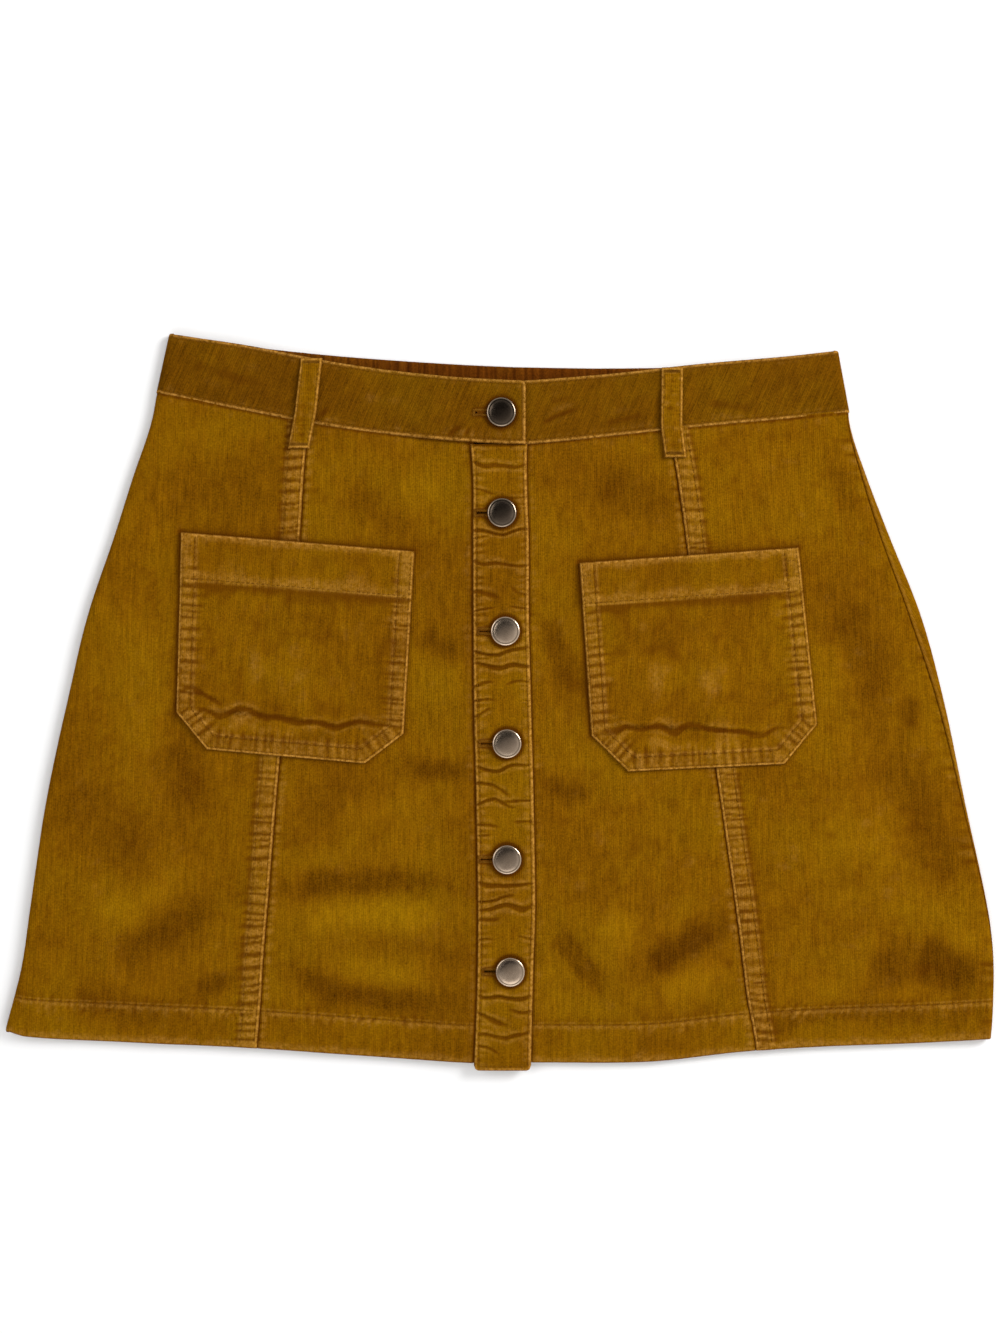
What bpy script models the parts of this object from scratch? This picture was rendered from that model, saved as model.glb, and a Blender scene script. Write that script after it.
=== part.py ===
"""A button-front A-line corduroy skirt, laid flat on its back.

Blender script: metres, +Z up, +X across the skirt and +Y from hem to waist. The tables and named sizes
below are in millimetres and are turned into metres where a mesh is made. The back lies on z = 0 and the
front lies on the back. The skirt is a flattened tube: its walls turn round a fold at each side.
"""

import math
from typing import NamedTuple

import bmesh
import bpy
from mathutils import Vector
from mathutils.bvhtree import BVHTree

MM = 0.001

# Cloth, in millimetres.
CLOTH = 1.1  # one layer of fine corduroy
HEM_WALL = 2.2  # cloth turned up twice and pressed
BAND_WALL = 2.2  # waistband or placket: the cloth folded round its facing
LOOP_WALL = 1.5  # belt loop: a strip folded in three and stitched
POCKET_WALL = 1.2
POCKET_HEM_WALL = 1.9
HEM_DEPTH = 24.0
SEAM_GAP = 0.3  # between two pieces that a seam joins
WAIST_GAP = 0.7  # along the waist seam, whose two curves have facets of their own
PLACKET_GAP = 0.6  # along the placket's seam, for the same reason
FOLD_GAP = 0.7  # at a seam on a fold, where the inner faces come closer than the outer ones
LAY_GAP = 0.3  # between two pieces that lie on each other
SEAM_ALLOWANCE = 10.0  # pressed to the side panel and stitched down
ALLOWANCE_LIFT = 0.5

# The folds at the sides of the tube.
SIDE_RADIUS = 3.0
BAND_RADIUS = 2.85
LEFT_SEAM_REACH = -1.2  # the left side seam is this far past the fold's outermost line, underneath
SIDE_SLOPE = 45.0  # the front sinks from the side fold to its rest level over this width

# Heights of the front's outer face above the table.
REST_LEVEL = 4.3
HEM_LEVEL = 4.75
WAIST_LEVEL = 4.9
BAND_LEVEL = 4.9
PLACKET_EDGE_LEVEL = 6.2  # the left front, where it meets the placket that lies on the other one
UNDER_EDGE_LEVEL = 4.65  # the right front, where the placket covers it
UNDER_PLACKET_LEVEL = 4.7
PLACKET_LEVEL = 7.2
UNDERLAP_LEVEL = 5.7  # waistband's under end, at the centre
OVERLAP_LEVEL = 8.2  # waistband's upper end, at the centre
PLACKET_SLOPE = 34.0  # the left front climbs to the placket over this width
HEM_SLOPE = 12.0
WAIST_SLOPE = 18.0

OVERLAP_END = 15.2  # the upper end of the waistband, in x
UNDERLAP_END = -14.0  # the under end of the waistband, in x
OVERLAP_MARGIN = 18.0  # each end keeps its level this far past the other one
OVERLAP_SLOPE = 38.0  # the waistband climbs to its overlap over this width
PLACKET_COVER = 1.5  # the placket reaches this far past the seam of the one under it
PLACKET_DROP = 4.0  # the placket is this much longer than the hem beside it
BACK_HEM_LIFT = 2.0  # the back's hem stays this far inside the front's


class Section(NamedTuple):
    """One height of the skirt: where its edges and seams are, in x, and the right side seam's inset."""

    y: float
    side_left: float
    seam_left: float
    placket_left: float
    placket_right: float
    seam_right: float
    side_right: float
    side_seam_inset: float


SECTIONS = (
    Section(185.0, -196.5, -109.0, -17.8, 16.4, 95.0, 200.6, 0.0),
    Section(160.0, -201.0, -110.3, -17.6, 16.2, 97.3, 201.8, 1.0),
    Section(130.0, -211.1, -112.9, -15.4, 15.8, 102.5, 211.5, 3.0),
    Section(95.0, -222.2, -115.1, -15.4, 16.9, 107.4, 224.9, 5.4),
    Section(50.0, -237.3, -118.9, -15.2, 17.0, 112.6, 242.8, 7.0),
    Section(0.0, -249.3, -123.6, -14.8, 18.2, 119.2, 256.3, 4.2),
    Section(-60.0, -261.8, -129.0, -13.4, 19.8, 127.9, 268.7, 1.8),
    Section(-120.0, -270.7, -133.8, -12.5, 20.6, 136.4, 281.4, 0.6),
    Section(-150.0, -275.0, -136.3, -12.7, 19.6, 140.2, 284.7, 0.0),
    Section(-172.0, -280.2, -137.5, -13.2, 19.0, 143.0, 284.6, 0.0),
    Section(-190.0, -284.8, -139.0, -13.9, 18.6, 146.4, 283.6, 0.0),
    Section(-212.0, -287.0, -141.0, -14.7, 18.2, 149.5, 281.0, 0.0),
)


class BandStation(NamedTuple):
    """One place along the waistband: the front's top and foot, and how far the back stands above it."""

    top_x: float
    top_y: float
    foot_x: float
    foot_y: float
    back_rise: float


BAND_STATIONS = (
    BandStation(-190.4, 212.0, -197.9, 177.8, 0.0),
    BandStation(-143.7, 205.1, -147.5, 167.8, 0.0),
    BandStation(-91.9, 195.3, -94.5, 158.0, 4.3),
    BandStation(-36.7, 187.8, -38.0, 151.2, 7.8),
    BandStation(0.0, 185.3, 0.0, 148.5, 8.4),
    BandStation(17.0, 185.2, 17.0, 148.4, 8.0),
    BandStation(62.4, 188.9, 63.0, 152.8, 3.7),
    BandStation(115.5, 194.7, 117.0, 158.4, -1.0),
    BandStation(161.6, 198.7, 165.0, 162.8, -1.0),
    BandStation(195.3, 202.2, 201.9, 166.4, 0.0),
)


class EdgePoint(NamedTuple):
    """A point of the front's hem."""

    x: float
    y: float


HEM_EDGE = (
    EdgePoint(-284.8, -189.0),
    EdgePoint(-272.0, -192.8),
    EdgePoint(-212.8, -196.2),
    EdgePoint(-143.7, -199.4),
    EdgePoint(-86.0, -203.4),
    EdgePoint(-17.0, -207.8),
    EdgePoint(20.4, -207.8),
    EdgePoint(86.7, -207.3),
    EdgePoint(138.5, -201.7),
    EdgePoint(184.6, -198.7),
    EdgePoint(240.0, -196.6),
    EdgePoint(284.8, -193.9),
)


class Fold(NamedTuple):
    """A soft ridge (lift above 0) or trough (below 0) of the front, between two points."""

    from_x: float
    from_y: float
    to_x: float
    to_y: float
    width: float
    lift: float


FRONT_FOLDS = (
    Fold(-150.0, -92.0, -198.0, -150.0, 17.0, -0.7),
    Fold(-150.0, -118.0, -186.0, -160.0, 15.0, 0.7),
    Fold(-122.0, -103.0, -22.0, -106.0, 13.0, -0.7),
    Fold(-118.0, -122.0, -30.0, -124.0, 17.0, 0.7),
    Fold(-104.0, -154.0, -40.0, -158.0, 15.0, -0.6),
    Fold(-56.0, -38.0, -20.0, -44.0, 12.0, -0.6),
    Fold(34.0, -134.0, 60.0, -166.0, 12.0, -0.7),
    Fold(60.0, -166.0, 128.0, -126.0, 15.0, -0.7),
    Fold(52.0, -112.0, 96.0, -136.0, 22.0, 0.7),
    Fold(250.0, -140.0, 274.0, -156.0, 14.0, -0.8),
    Fold(236.0, -6.0, 240.0, -34.0, 10.0, -0.7),
    Fold(192.0, 138.0, 206.0, 104.0, 12.0, -0.6),
    Fold(-205.0, 60.0, -214.0, -40.0, 24.0, 0.6),
)


class Pocket(NamedTuple):
    """A patch pocket's corners, its left side first, and the depth of the hem across its top."""

    name: str
    top_left: tuple
    low_left: tuple
    bottom_left: tuple
    top_right: tuple
    low_right: tuple
    bottom_right: tuple
    hem_depth: float


POCKETS = (
    Pocket(
        "pocket_left",
        (-183.1, 97.7),
        (-186.0, -5.9),
        (-168.3, -27.4),
        (-48.9, 86.7),
        (-55.1, -18.4),
        (-77.6, -35.5),
        28.0,
    ),
    Pocket(
        "pocket_right",
        (46.0, 80.1),
        (52.8, -19.2),
        (74.2, -40.1),
        (172.0, 88.9),
        (182.8, -12.9),
        (163.8, -35.8),
        25.5,
    ),
)


class Loop(NamedTuple):
    """A belt loop's centre line, from the waistband's top edge to its bar tack."""

    name: str
    top_x: float
    top_y: float
    bend_x: float
    bend_y: float
    end_x: float
    end_y: float


BELT_LOOPS = (
    Loop("belt_loop_left", -108.0, 197.8, -111.6, 165.0, -115.6, 145.8),
    Loop("belt_loop_right", 99.4, 192.4, 98.8, 158.0, 101.4, 140.6),
)
LOOP_WIDTH = 12.4
LOOP_ARCH = 1.0  # the room a belt has under a loop, as it lies

# Buttons: x and y of the six, from the waistband down.
BUTTONS = ((1.0, 166.2), (1.4, 108.6), (3.4, 40.7), (4.3, -23.9), (4.3, -90.4), (6.2, -154.9))
CAP_RADIUS = 8.5
CAP_EDGE = 1.1
CAP_HEIGHT = 2.7
SHANK_RADIUS = 3.0
POST_RADIUS = 1.3
TACK_RADIUS = 4.0
TACK_HEIGHT = 0.7
BUTTON_SIDES = 16
EYE_SIDES = 10
EYE_RADIUS = 3.5  # the buttonhole's round end, where the shank stands
SLIT_HALF = 0.8
SLIT_LENGTH = 16.0
POST_HOLE_RADIUS = 1.7

# Faces along and across each piece.
PANEL_ROWS = 13
CENTRE_COLUMNS = 6
SIDE_COLUMNS = 7
TURN_COLUMNS = 3
BACK_TURN_COLUMNS = 3
BACK_COLUMNS = 12
OVER_COLUMNS = 7
STRIP_ROWS = 12
BAND_COLUMNS = 9
POCKET_COLUMNS = 8

CORDUROY = ("corduroy", (0.213, 0.090, 0.0030, 1.0), 0.92, 0.0)
FACING = ("corduroy_inside", (0.110, 0.040, 0.0025, 1.0), 0.95, 0.0)
BUTTON_METAL = ("button_metal", (0.19, 0.15, 0.105, 1.0), 0.35, 1.0)


def smooth_curve(pairs, at):
    """Value at `at` of a smooth curve through (place, value) pairs, whose places all rise."""
    last = len(pairs) - 1
    at = min(max(at, pairs[0][0]), pairs[last][0])
    i = next((k for k in range(last) if at <= pairs[k + 1][0]), last - 1)

    def slope(k):
        low, high = pairs[max(k - 1, 0)], pairs[min(k + 1, last)]
        return (high[1] - low[1]) / (high[0] - low[0])

    (start, start_value), (end, end_value) = pairs[i], pairs[i + 1]
    span = end - start
    t = (at - start) / span
    rise = (1 + 2 * t) * (1 - t) ** 2 * start_value + t * (1 - t) ** 2 * span * slope(i)
    return rise + t * t * (3 - 2 * t) * end_value + t * t * (t - 1) * span * slope(i + 1)


def ease(t):
    """Smooth step from 0 to 1."""
    t = min(max(t, 0.0), 1.0)
    return t * t * (3 - 2 * t)


def mix(a, b, t):
    return a + (b - a) * t


def shares(steps):
    return [k / steps for k in range(steps + 1)]


def section(column, y):
    """A column of SECTIONS at height y."""
    return smooth_curve([(row.y, getattr(row, column)) for row in reversed(SECTIONS)], y)


def side_edge(side, y):
    """Where a side fold's outermost line is, in x; side is -1 at the left and 1 at the right."""
    return section("side_left" if side < 0 else "side_right", y)


def band_line(x_column, y_column, x):
    """Height of one of the waistband's edges at x."""
    return smooth_curve([(getattr(row, x_column), getattr(row, y_column)) for row in BAND_STATIONS], x)


def band_place(share, column):
    """A column of BAND_STATIONS at a share of the waistband's length, 0 at its left fold."""
    stations = [(k, getattr(row, column)) for k, row in enumerate(BAND_STATIONS)]
    return smooth_curve(stations, share * (len(BAND_STATIONS) - 1))


def band_point(share, v):
    """(x, y) in the front waistband at a share of its length; v is 0 at its top and 1 at its foot."""
    foot_x = band_place(share, "foot_x")
    y = mix(band_place(share, "top_y"), waist_seam(foot_x), v)
    return mix(band_place(share, "top_x"), foot_x, v), y


def band_share(x):
    """The share of the waistband's length at which its top is at x."""
    last = len(BAND_STATIONS) - 1
    return smooth_curve([(row.top_x, k / last) for k, row in enumerate(BAND_STATIONS)], x)


def waist_seam(x):
    return band_line("foot_x", "foot_y", x)


def back_rise(x):
    """How far the back's waist seam is above the front's."""
    return max(0.0, band_line("foot_x", "back_rise", x))


def hem_line(x):
    """Height of the front's hem edge at x."""
    return smooth_curve(HEM_EDGE, x)


def back_hem_line(x, y):
    """Height of the back's hem edge, which rises a little away from the side folds."""
    inside = min(x - side_edge(-1, y), side_edge(1, y) - x)
    return hem_line(x) + BACK_HEM_LIFT * ease(inside / SIDE_SLOPE)


def fold_lift(x, y):
    """Sum of the front's ridges and troughs at a point."""
    total = 0.0
    for fold in FRONT_FOLDS:
        run = Vector((fold.to_x - fold.from_x, fold.to_y - fold.from_y))
        offset = Vector((x - fold.from_x, y - fold.from_y))
        share = min(max(offset.dot(run) / run.length_squared, 0.0), 1.0)
        total += fold.lift * math.exp(-(((offset - run * share).length / fold.width) ** 2))
    return total


def front_level(x, y):
    """Height of the front panels' outer face, without seam allowances."""
    level = REST_LEVEL + fold_lift(x, y)
    hem = ease(1 - (y - hem_line(x) - HEM_DEPTH) / HEM_SLOPE)
    level = mix(level, max(level, HEM_LEVEL), hem)
    level = mix(level, WAIST_LEVEL, ease(1 - (waist_seam(x) - y) / WAIST_SLOPE))
    side = -1 if x < 0 else 1
    inside = side * (side_edge(side, y) - x) - SIDE_RADIUS
    level = mix(2 * SIDE_RADIUS, level, ease(inside / SIDE_SLOPE))
    if x < 0:
        return mix(level, PLACKET_EDGE_LEVEL, ease(1 - (section("placket_left", y) - x) / PLACKET_SLOPE))
    beside = ease(1 - (x - section("placket_right", y)) / (2 * PLACKET_COVER))
    return mix(level, UNDER_EDGE_LEVEL, beside)


def layer(x, y, top, thickness):
    """(outer, inner) points of a flat layer at a place in plan."""
    return (x, y, top), (x, y, top - thickness)


def turned(edge, side, radius, reach, y, thickness):
    """(outer, inner) points of a wall where it turns round a side fold.

    reach is the length along the cloth from the fold's outermost line, above 0 over the top.
    """
    turn = reach / radius
    pair = []
    for arm in (radius, radius - thickness):
        pair.append((edge - side * (radius - arm * math.cos(turn)), y, radius + arm * math.sin(turn)))
    return tuple(pair)


def skirt_point(side, y, reach, thickness):
    """(outer, inner) points of the skirt's wall at a reach from a side fold's outermost line."""
    quarter = SIDE_RADIUS * math.pi / 2
    edge = side_edge(side, y)
    if abs(reach) < quarter:
        return turned(edge, side, SIDE_RADIUS, reach, y, thickness)
    x = edge - side * (SIDE_RADIUS + abs(reach) - quarter)
    if reach > 0:
        return layer(x, y, front_level(x, y), thickness)
    return (x, y, 0.0), (x, y, thickness)


def side_seam_reach(side, y):
    """Where a side seam is, as a length along the cloth from the fold's outermost line."""
    if side < 0:
        return LEFT_SEAM_REACH
    inset = max(0.0, section("side_seam_inset", y))
    if inset < SIDE_RADIUS:
        return SIDE_RADIUS * math.acos(1 - inset / SIDE_RADIUS)
    return SIDE_RADIUS * math.pi / 2 + inset - SIDE_RADIUS


def make_material(name, colour, roughness, metallic):
    material = bpy.data.materials.get(name) or bpy.data.materials.new(name)
    material.use_nodes = True
    shader = material.node_tree.nodes["Principled BSDF"]
    shader.inputs["Base Color"].default_value = colour
    shader.inputs["Roughness"].default_value = roughness
    shader.inputs["Metallic"].default_value = metallic
    return material


def add_object(name, mesh, material):
    mesh.materials.append(make_material(*material))
    item = bpy.data.objects.new(name, mesh)
    bpy.context.scene.collection.objects.link(item)
    return item


def wall(name, rows, material=CORDUROY):
    """A closed cloth wall from rows of (outer, inner) point pairs in millimetres."""
    shape = bmesh.new()
    outer, inner = (
        [[shape.verts.new(Vector(pair[k]) * MM) for pair in row] for row in rows] for k in (0, 1)
    )
    last_row, last_column = len(rows) - 1, len(rows[0]) - 1
    for i in range(last_row):
        for j in range(last_column):
            for grid in (outer, inner):
                shape.faces.new((grid[i][j], grid[i][j + 1], grid[i + 1][j + 1], grid[i + 1][j]))
    for i in (0, last_row):
        for j in range(last_column):
            shape.faces.new((outer[i][j], outer[i][j + 1], inner[i][j + 1], inner[i][j]))
    for j in (0, last_column):
        for i in range(last_row):
            shape.faces.new((outer[i][j], outer[i + 1][j], inner[i + 1][j], inner[i][j]))
    bmesh.ops.recalc_face_normals(shape, faces=shape.faces[:])
    mesh = bpy.data.meshes.new(name)
    shape.to_mesh(mesh)
    shape.free()
    return add_object(name, mesh, material)


def panel_heights(top, foot):
    """Heights from a panel's top down to its foot, with a pair where its hem starts."""
    hem = foot + HEM_DEPTH
    return [mix(top, hem + 0.2, t) for t in shares(PANEL_ROWS)] + [hem - 0.6, foot + 9.0, foot]


def panel_wall(y, foot):
    """Thickness of a panel: more where its hem is turned up."""
    return HEM_WALL if y < foot + HEM_DEPTH else CLOTH


def panel(name, place_points, top_line, foot_line, columns):
    """A skirt panel; place_points gives the (outer, inner) points of a column at a height.

    A column's x changes with its height and the height of a row changes with x, so both are
    settled in a few turns.
    """
    rows = []
    for k in range(PANEL_ROWS + 4):
        row = []
        for column in range(columns):
            x, y = 0.0, 0.0
            for _ in range(4):
                foot = foot_line(x, y)
                y = panel_heights(top_line(x), foot)[k]
                pair = place_points(column, y, panel_wall(y, foot))
                x = pair[0][0]
            row.append(pair)
        rows.append(row)
    return wall(name, rows)


def centre_panel(name, side):
    """A front panel between its placket and its princess seam."""

    def place_points(column, y, thickness):
        seam = section("seam_left" if side < 0 else "seam_right", y) - side * SEAM_GAP / 2
        if side < 0:
            inner_edge = section("placket_left", y) - PLACKET_GAP / 2
        else:
            inner_edge = section("placket_right", y) - PLACKET_COVER + PLACKET_GAP / 2
        x = mix(inner_edge, seam, column / CENTRE_COLUMNS)
        if side > 0 and column == 1:
            x = inner_edge + 2 * PLACKET_COVER + 1.5
        return layer(x, y, front_level(x, y), thickness)

    return panel(
        name, place_points, lambda x: waist_seam(x) - WAIST_GAP, lambda x, y: hem_line(x), CENTRE_COLUMNS + 1
    )


def side_panel(name, side):
    """A front side panel, from its princess seam round the side fold to the side seam."""

    def place_points(column, y, thickness):
        seam = section("seam_left" if side < 0 else "seam_right", y) + side * SEAM_GAP / 2
        stop = side_seam_reach(side, y) + FOLD_GAP / 2
        bend = max(SIDE_RADIUS * math.pi / 2, stop + 1.0)
        if column < 2:
            x = seam + side * SEAM_ALLOWANCE * column
            return layer(x, y, front_level(x, y) + ALLOWANCE_LIFT, thickness + ALLOWANCE_LIFT)
        if column < 3 + SIDE_COLUMNS:
            start = seam + side * (SEAM_ALLOWANCE + 0.8)
            finish = side_edge(side, y) - side * (SIDE_RADIUS + bend - SIDE_RADIUS * math.pi / 2)
            x = mix(start, finish, (column - 2) / SIDE_COLUMNS)
            return layer(x, y, front_level(x, y), thickness)
        step = column - 2 - SIDE_COLUMNS
        return skirt_point(side, y, mix(bend, stop, step / TURN_COLUMNS), thickness)

    return panel(
        name,
        place_points,
        lambda x: waist_seam(x) - WAIST_GAP,
        lambda x, y: hem_line(x),
        3 + SIDE_COLUMNS + TURN_COLUMNS,
    )


def back_panel():
    """The back, flat on the table and turned up at both side folds."""
    quarter = SIDE_RADIUS * math.pi / 2

    def place_points(column, y, thickness):
        if column <= BACK_TURN_COLUMNS:
            start = side_seam_reach(-1, y) - FOLD_GAP / 2
            return skirt_point(-1, y, mix(start, -quarter, column / BACK_TURN_COLUMNS), thickness)
        across = column - BACK_TURN_COLUMNS
        if across < BACK_COLUMNS:
            left, right = side_edge(-1, y) + SIDE_RADIUS, side_edge(1, y) - SIDE_RADIUS
            x = mix(left, right, across / BACK_COLUMNS)
            return (x, y, 0.0), (x, y, thickness)
        stop = side_seam_reach(1, y) - FOLD_GAP / 2
        turn = (across - BACK_COLUMNS) / OVER_COLUMNS
        return skirt_point(1, y, mix(-quarter, stop, turn), thickness)

    return panel(
        "back_panel",
        place_points,
        lambda x: waist_seam(x) + back_rise(x) - WAIST_GAP,
        back_hem_line,
        1 + BACK_TURN_COLUMNS + BACK_COLUMNS + OVER_COLUMNS,
    )


def strip(name, left, right, top_edge, foot_edge, level):
    """A placket: a straight strip of doubled cloth between two edges given as functions of y."""
    rows = []
    for share in shares(STRIP_ROWS):
        y = mix(top_edge, foot_edge, share)
        rows.append([layer(mix(left(y), right(y), t), y, level, BAND_WALL) for t in shares(2)])
    return wall(name, rows)


def band_level(x, overlap):
    """Height of a front waistband's outer face: it climbs to its end at the centre."""
    end_level = OVERLAP_LEVEL if overlap else UNDERLAP_LEVEL
    end = OVERLAP_END if overlap else UNDERLAP_END
    flat = OVERLAP_END - UNDERLAP_END + OVERLAP_MARGIN
    return mix(BAND_LEVEL, end_level, ease(1 - (abs(x - end) - flat) / OVERLAP_SLOPE))


def band_front(name, side, end):
    """A front half of the waistband, from its end at the centre round a side fold."""
    rows = []
    quarter = BAND_RADIUS * math.pi / 2
    stop = LEFT_SEAM_REACH + FOLD_GAP / 2
    for v in shares(2):
        row = []
        edge_share = 0.0 if side < 0 else 1.0
        edge, edge_y = band_point(edge_share, v)
        for t in shares(BAND_COLUMNS):
            x, y = band_point(mix(band_share(end), edge_share, t), v)
            x = min(side * x, side * edge - BAND_RADIUS) * side
            top = mix(band_level(x, side < 0), 2 * BAND_RADIUS, ease(1 - (side * (edge - x) - BAND_RADIUS) / 25))
            row.append(layer(x, y, top, BAND_WALL))
        for t in shares(TURN_COLUMNS)[1:]:
            row.append(turned(edge, side, BAND_RADIUS, mix(quarter, stop, t), edge_y, BAND_WALL))
        rows.append(row)
    return wall(name, rows)


def band_back():
    """The back of the waistband, flat on the table and turned up at both side folds."""
    rows = []
    quarter = BAND_RADIUS * math.pi / 2
    start = LEFT_SEAM_REACH - FOLD_GAP / 2
    for v in shares(2):
        ends = []
        for side, share in ((-1, 0.0), (1, 1.0)):
            edge, y = band_point(share, v)
            turn = [mix(start, -quarter, t) for t in shares(BACK_TURN_COLUMNS)]
            ends.append([turned(edge, side, BAND_RADIUS, reach, y, BAND_WALL) for reach in turn])
        middle = []
        for share in shares(2 * BAND_COLUMNS)[1:-1]:
            x, y = band_point(share, v)
            y += back_rise(x) if v == 1.0 else band_place(share, "back_rise")
            middle.append(((x, y, 0.0), (x, y, BAND_WALL)))
        rows.append(ends[0] + middle + ends[1][::-1])
    return wall("waistband_back", rows)


def laid_on(pieces):
    """A function that gives the highest point of some pieces round a place in plan."""
    trees = []
    for piece in pieces:
        corners = [tuple(vertex.co) for vertex in piece.data.vertices]
        trees.append(BVHTree.FromPolygons(corners, [tuple(face.vertices) for face in piece.data.polygons]))

    def highest(x, y, spread):
        top = 0.0
        steps = (-spread, -spread / 2, 0.0, spread / 2, spread)
        for step_x in steps:
            for step_y in steps:
                start = Vector((x + step_x, y + step_y, 50.0)) * MM
                hits = [tree.ray_cast(start, Vector((0.0, 0.0, -1.0)))[0] for tree in trees]
                top = max([top] + [hit.z / MM for hit in hits if hit])
        return top

    return highest


def pocket(shape, highest):
    """A patch pocket laid on the front panels, with its hem across the top."""
    top_share = shape.hem_depth / (shape.top_left[1] - shape.low_left[1])
    places = [0.0, top_share / 2, top_share - 0.004, top_share + 0.004]
    places += [mix(top_share + 0.004, 1.0, t) for t in shares(5)[1:]]
    rows = []
    for place in places:
        left = [mix(shape.top_left[k], shape.low_left[k], place) for k in (0, 1)]
        right = [mix(shape.top_right[k], shape.low_right[k], place) for k in (0, 1)]
        rows.append((left, right, POCKET_HEM_WALL if place < top_share else POCKET_WALL))
    rows.append((shape.bottom_left, shape.bottom_right, POCKET_WALL))
    points = []
    for left, right, thickness in rows:
        row = []
        for t in shares(POCKET_COLUMNS):
            x, y = mix(left[0], right[0], t), mix(left[1], right[1], t)
            low = highest(x, y, 9.0) + LAY_GAP
            row.append(((x, y, low + thickness), (x, y, low)))
        points.append(row)
    return wall(shape.name, points)


def belt_loop(shape, highest):
    """A belt loop: a stitched strip from the waistband's top, over its seam, to the panel below."""
    ends = [(shape.top_x, shape.top_y), (shape.bend_x, shape.bend_y), (shape.end_x, shape.end_y)]
    middle = [
        (mix(ends[k][0], ends[k + 1][0], t), mix(ends[k][1], ends[k + 1][1], t))
        for k in (0, 1)
        for t in shares(4)[k:]
    ]
    rows = []
    for number, (x, y) in enumerate(middle):
        arch = LOOP_ARCH * math.sin(math.pi * number / (len(middle) - 1))
        low = max(highest(x + step, y, 3.0) for step in (-LOOP_WIDTH / 3, 0.0, LOOP_WIDTH / 3))
        low += LAY_GAP + arch
        row = []
        for t in shares(2):
            across = mix(-LOOP_WIDTH / 2, LOOP_WIDTH / 2, t)
            row.append(((x + across, y, low + LOOP_WALL), (x + across, y, low)))
        rows.append(row)
    return wall(shape.name, rows)


def lathe(name, x, y, profile, material):
    """A closed round body from a profile of (radius, height) pairs that starts and ends on its axis."""
    shape = bmesh.new()
    corners = [shape.verts.new(Vector((x + radius, y, height)) * MM) for radius, height in profile]
    edges = [shape.edges.new(pair) for pair in zip(corners, corners[1:])]
    bmesh.ops.spin(
        shape,
        geom=corners + edges,
        cent=Vector((x, y, 0.0)) * MM,
        axis=(0.0, 0.0, 1.0),
        angle=math.tau,
        steps=BUTTON_SIDES,
    )
    bmesh.ops.remove_doubles(shape, verts=shape.verts[:], dist=0.01 * MM)
    bmesh.ops.recalc_face_normals(shape, faces=shape.faces[:])
    mesh = bpy.data.meshes.new(name)
    shape.to_mesh(mesh)
    shape.free()
    mesh.shade_smooth()
    mesh.set_sharp_from_angle(angle=math.radians(35.0))
    return add_object(name, mesh, material)


def cut(target, cutter):
    """Cut a hole through a piece and keep the cutter out of the render."""
    change = target.modifiers.new(cutter.name, "BOOLEAN")
    change.operation = "DIFFERENCE"
    change.solver = "EXACT"
    change.object = cutter
    cutter.hide_render = True
    cutter.display_type = "WIRE"


def button(number, x, y, upper, under):
    """A tack button on the under piece, its shank through a buttonhole in the upper one."""
    face = (OVERLAP_LEVEL if number == 1 else PLACKET_LEVEL) + LAY_GAP
    under_top = UNDERLAP_LEVEL if number == 1 else UNDER_PLACKET_LEVEL
    under_foot = under_top - BAND_WALL
    profile = (
        (0.0, under_foot - LAY_GAP - TACK_HEIGHT),
        (TACK_RADIUS, under_foot - LAY_GAP - TACK_HEIGHT),
        (TACK_RADIUS, under_foot - LAY_GAP),
        (POST_RADIUS, under_foot - LAY_GAP),
        (POST_RADIUS, under_top + LAY_GAP),
        (SHANK_RADIUS, under_top + LAY_GAP),
        (SHANK_RADIUS, face),
        (CAP_RADIUS, face),
        (CAP_RADIUS, face + CAP_EDGE),
        (CAP_RADIUS - 1.6, face + CAP_HEIGHT * 0.85),
        (CAP_RADIUS - 5.0, face + CAP_HEIGHT),
        (0.0, face + CAP_HEIGHT),
    )
    lathe(f"button_{number}", x, y, profile, BUTTON_METAL)
    low, high = under_foot - 1.0, under_top + 1.0
    post_hole = ((0.0, low), (POST_HOLE_RADIUS, low), (POST_HOLE_RADIUS, high), (0.0, high))
    cut(under, lathe(f"cutter_post_{number}", x, y, post_hole, BUTTON_METAL))
    low, high = face - LAY_GAP - BAND_WALL - 0.15, face + 1.0
    cut(upper, buttonhole_cutter(f"cutter_buttonhole_{number}", x, y, low, high))


def buttonhole_cutter(name, x, y, low, high):
    """A keyhole shape: a round eye with a slit towards the wearer's right."""
    outline = []
    first = math.asin(SLIT_HALF / EYE_RADIUS)
    for k in range(EYE_SIDES + 1):
        angle = mix(-math.pi + first, math.pi - first, k / EYE_SIDES)
        outline.append((x + EYE_RADIUS * math.cos(angle), y + EYE_RADIUS * math.sin(angle)))
    outline.append((x - SLIT_LENGTH, y + SLIT_HALF))
    outline.append((x - SLIT_LENGTH, y - SLIT_HALF))
    shape = bmesh.new()
    sole = shape.faces.new([shape.verts.new(Vector((px, py, low)) * MM) for px, py in outline])
    raised = bmesh.ops.extrude_face_region(shape, geom=[sole], use_keep_orig=True)["geom"]
    corners = [item for item in raised if isinstance(item, bmesh.types.BMVert)]
    bmesh.ops.translate(shape, verts=corners, vec=Vector((0.0, 0.0, high - low)) * MM)
    bmesh.ops.recalc_face_normals(shape, faces=shape.faces[:])
    mesh = bpy.data.meshes.new(name)
    shape.to_mesh(mesh)
    shape.free()
    return add_object(name, mesh, CORDUROY)


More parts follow.
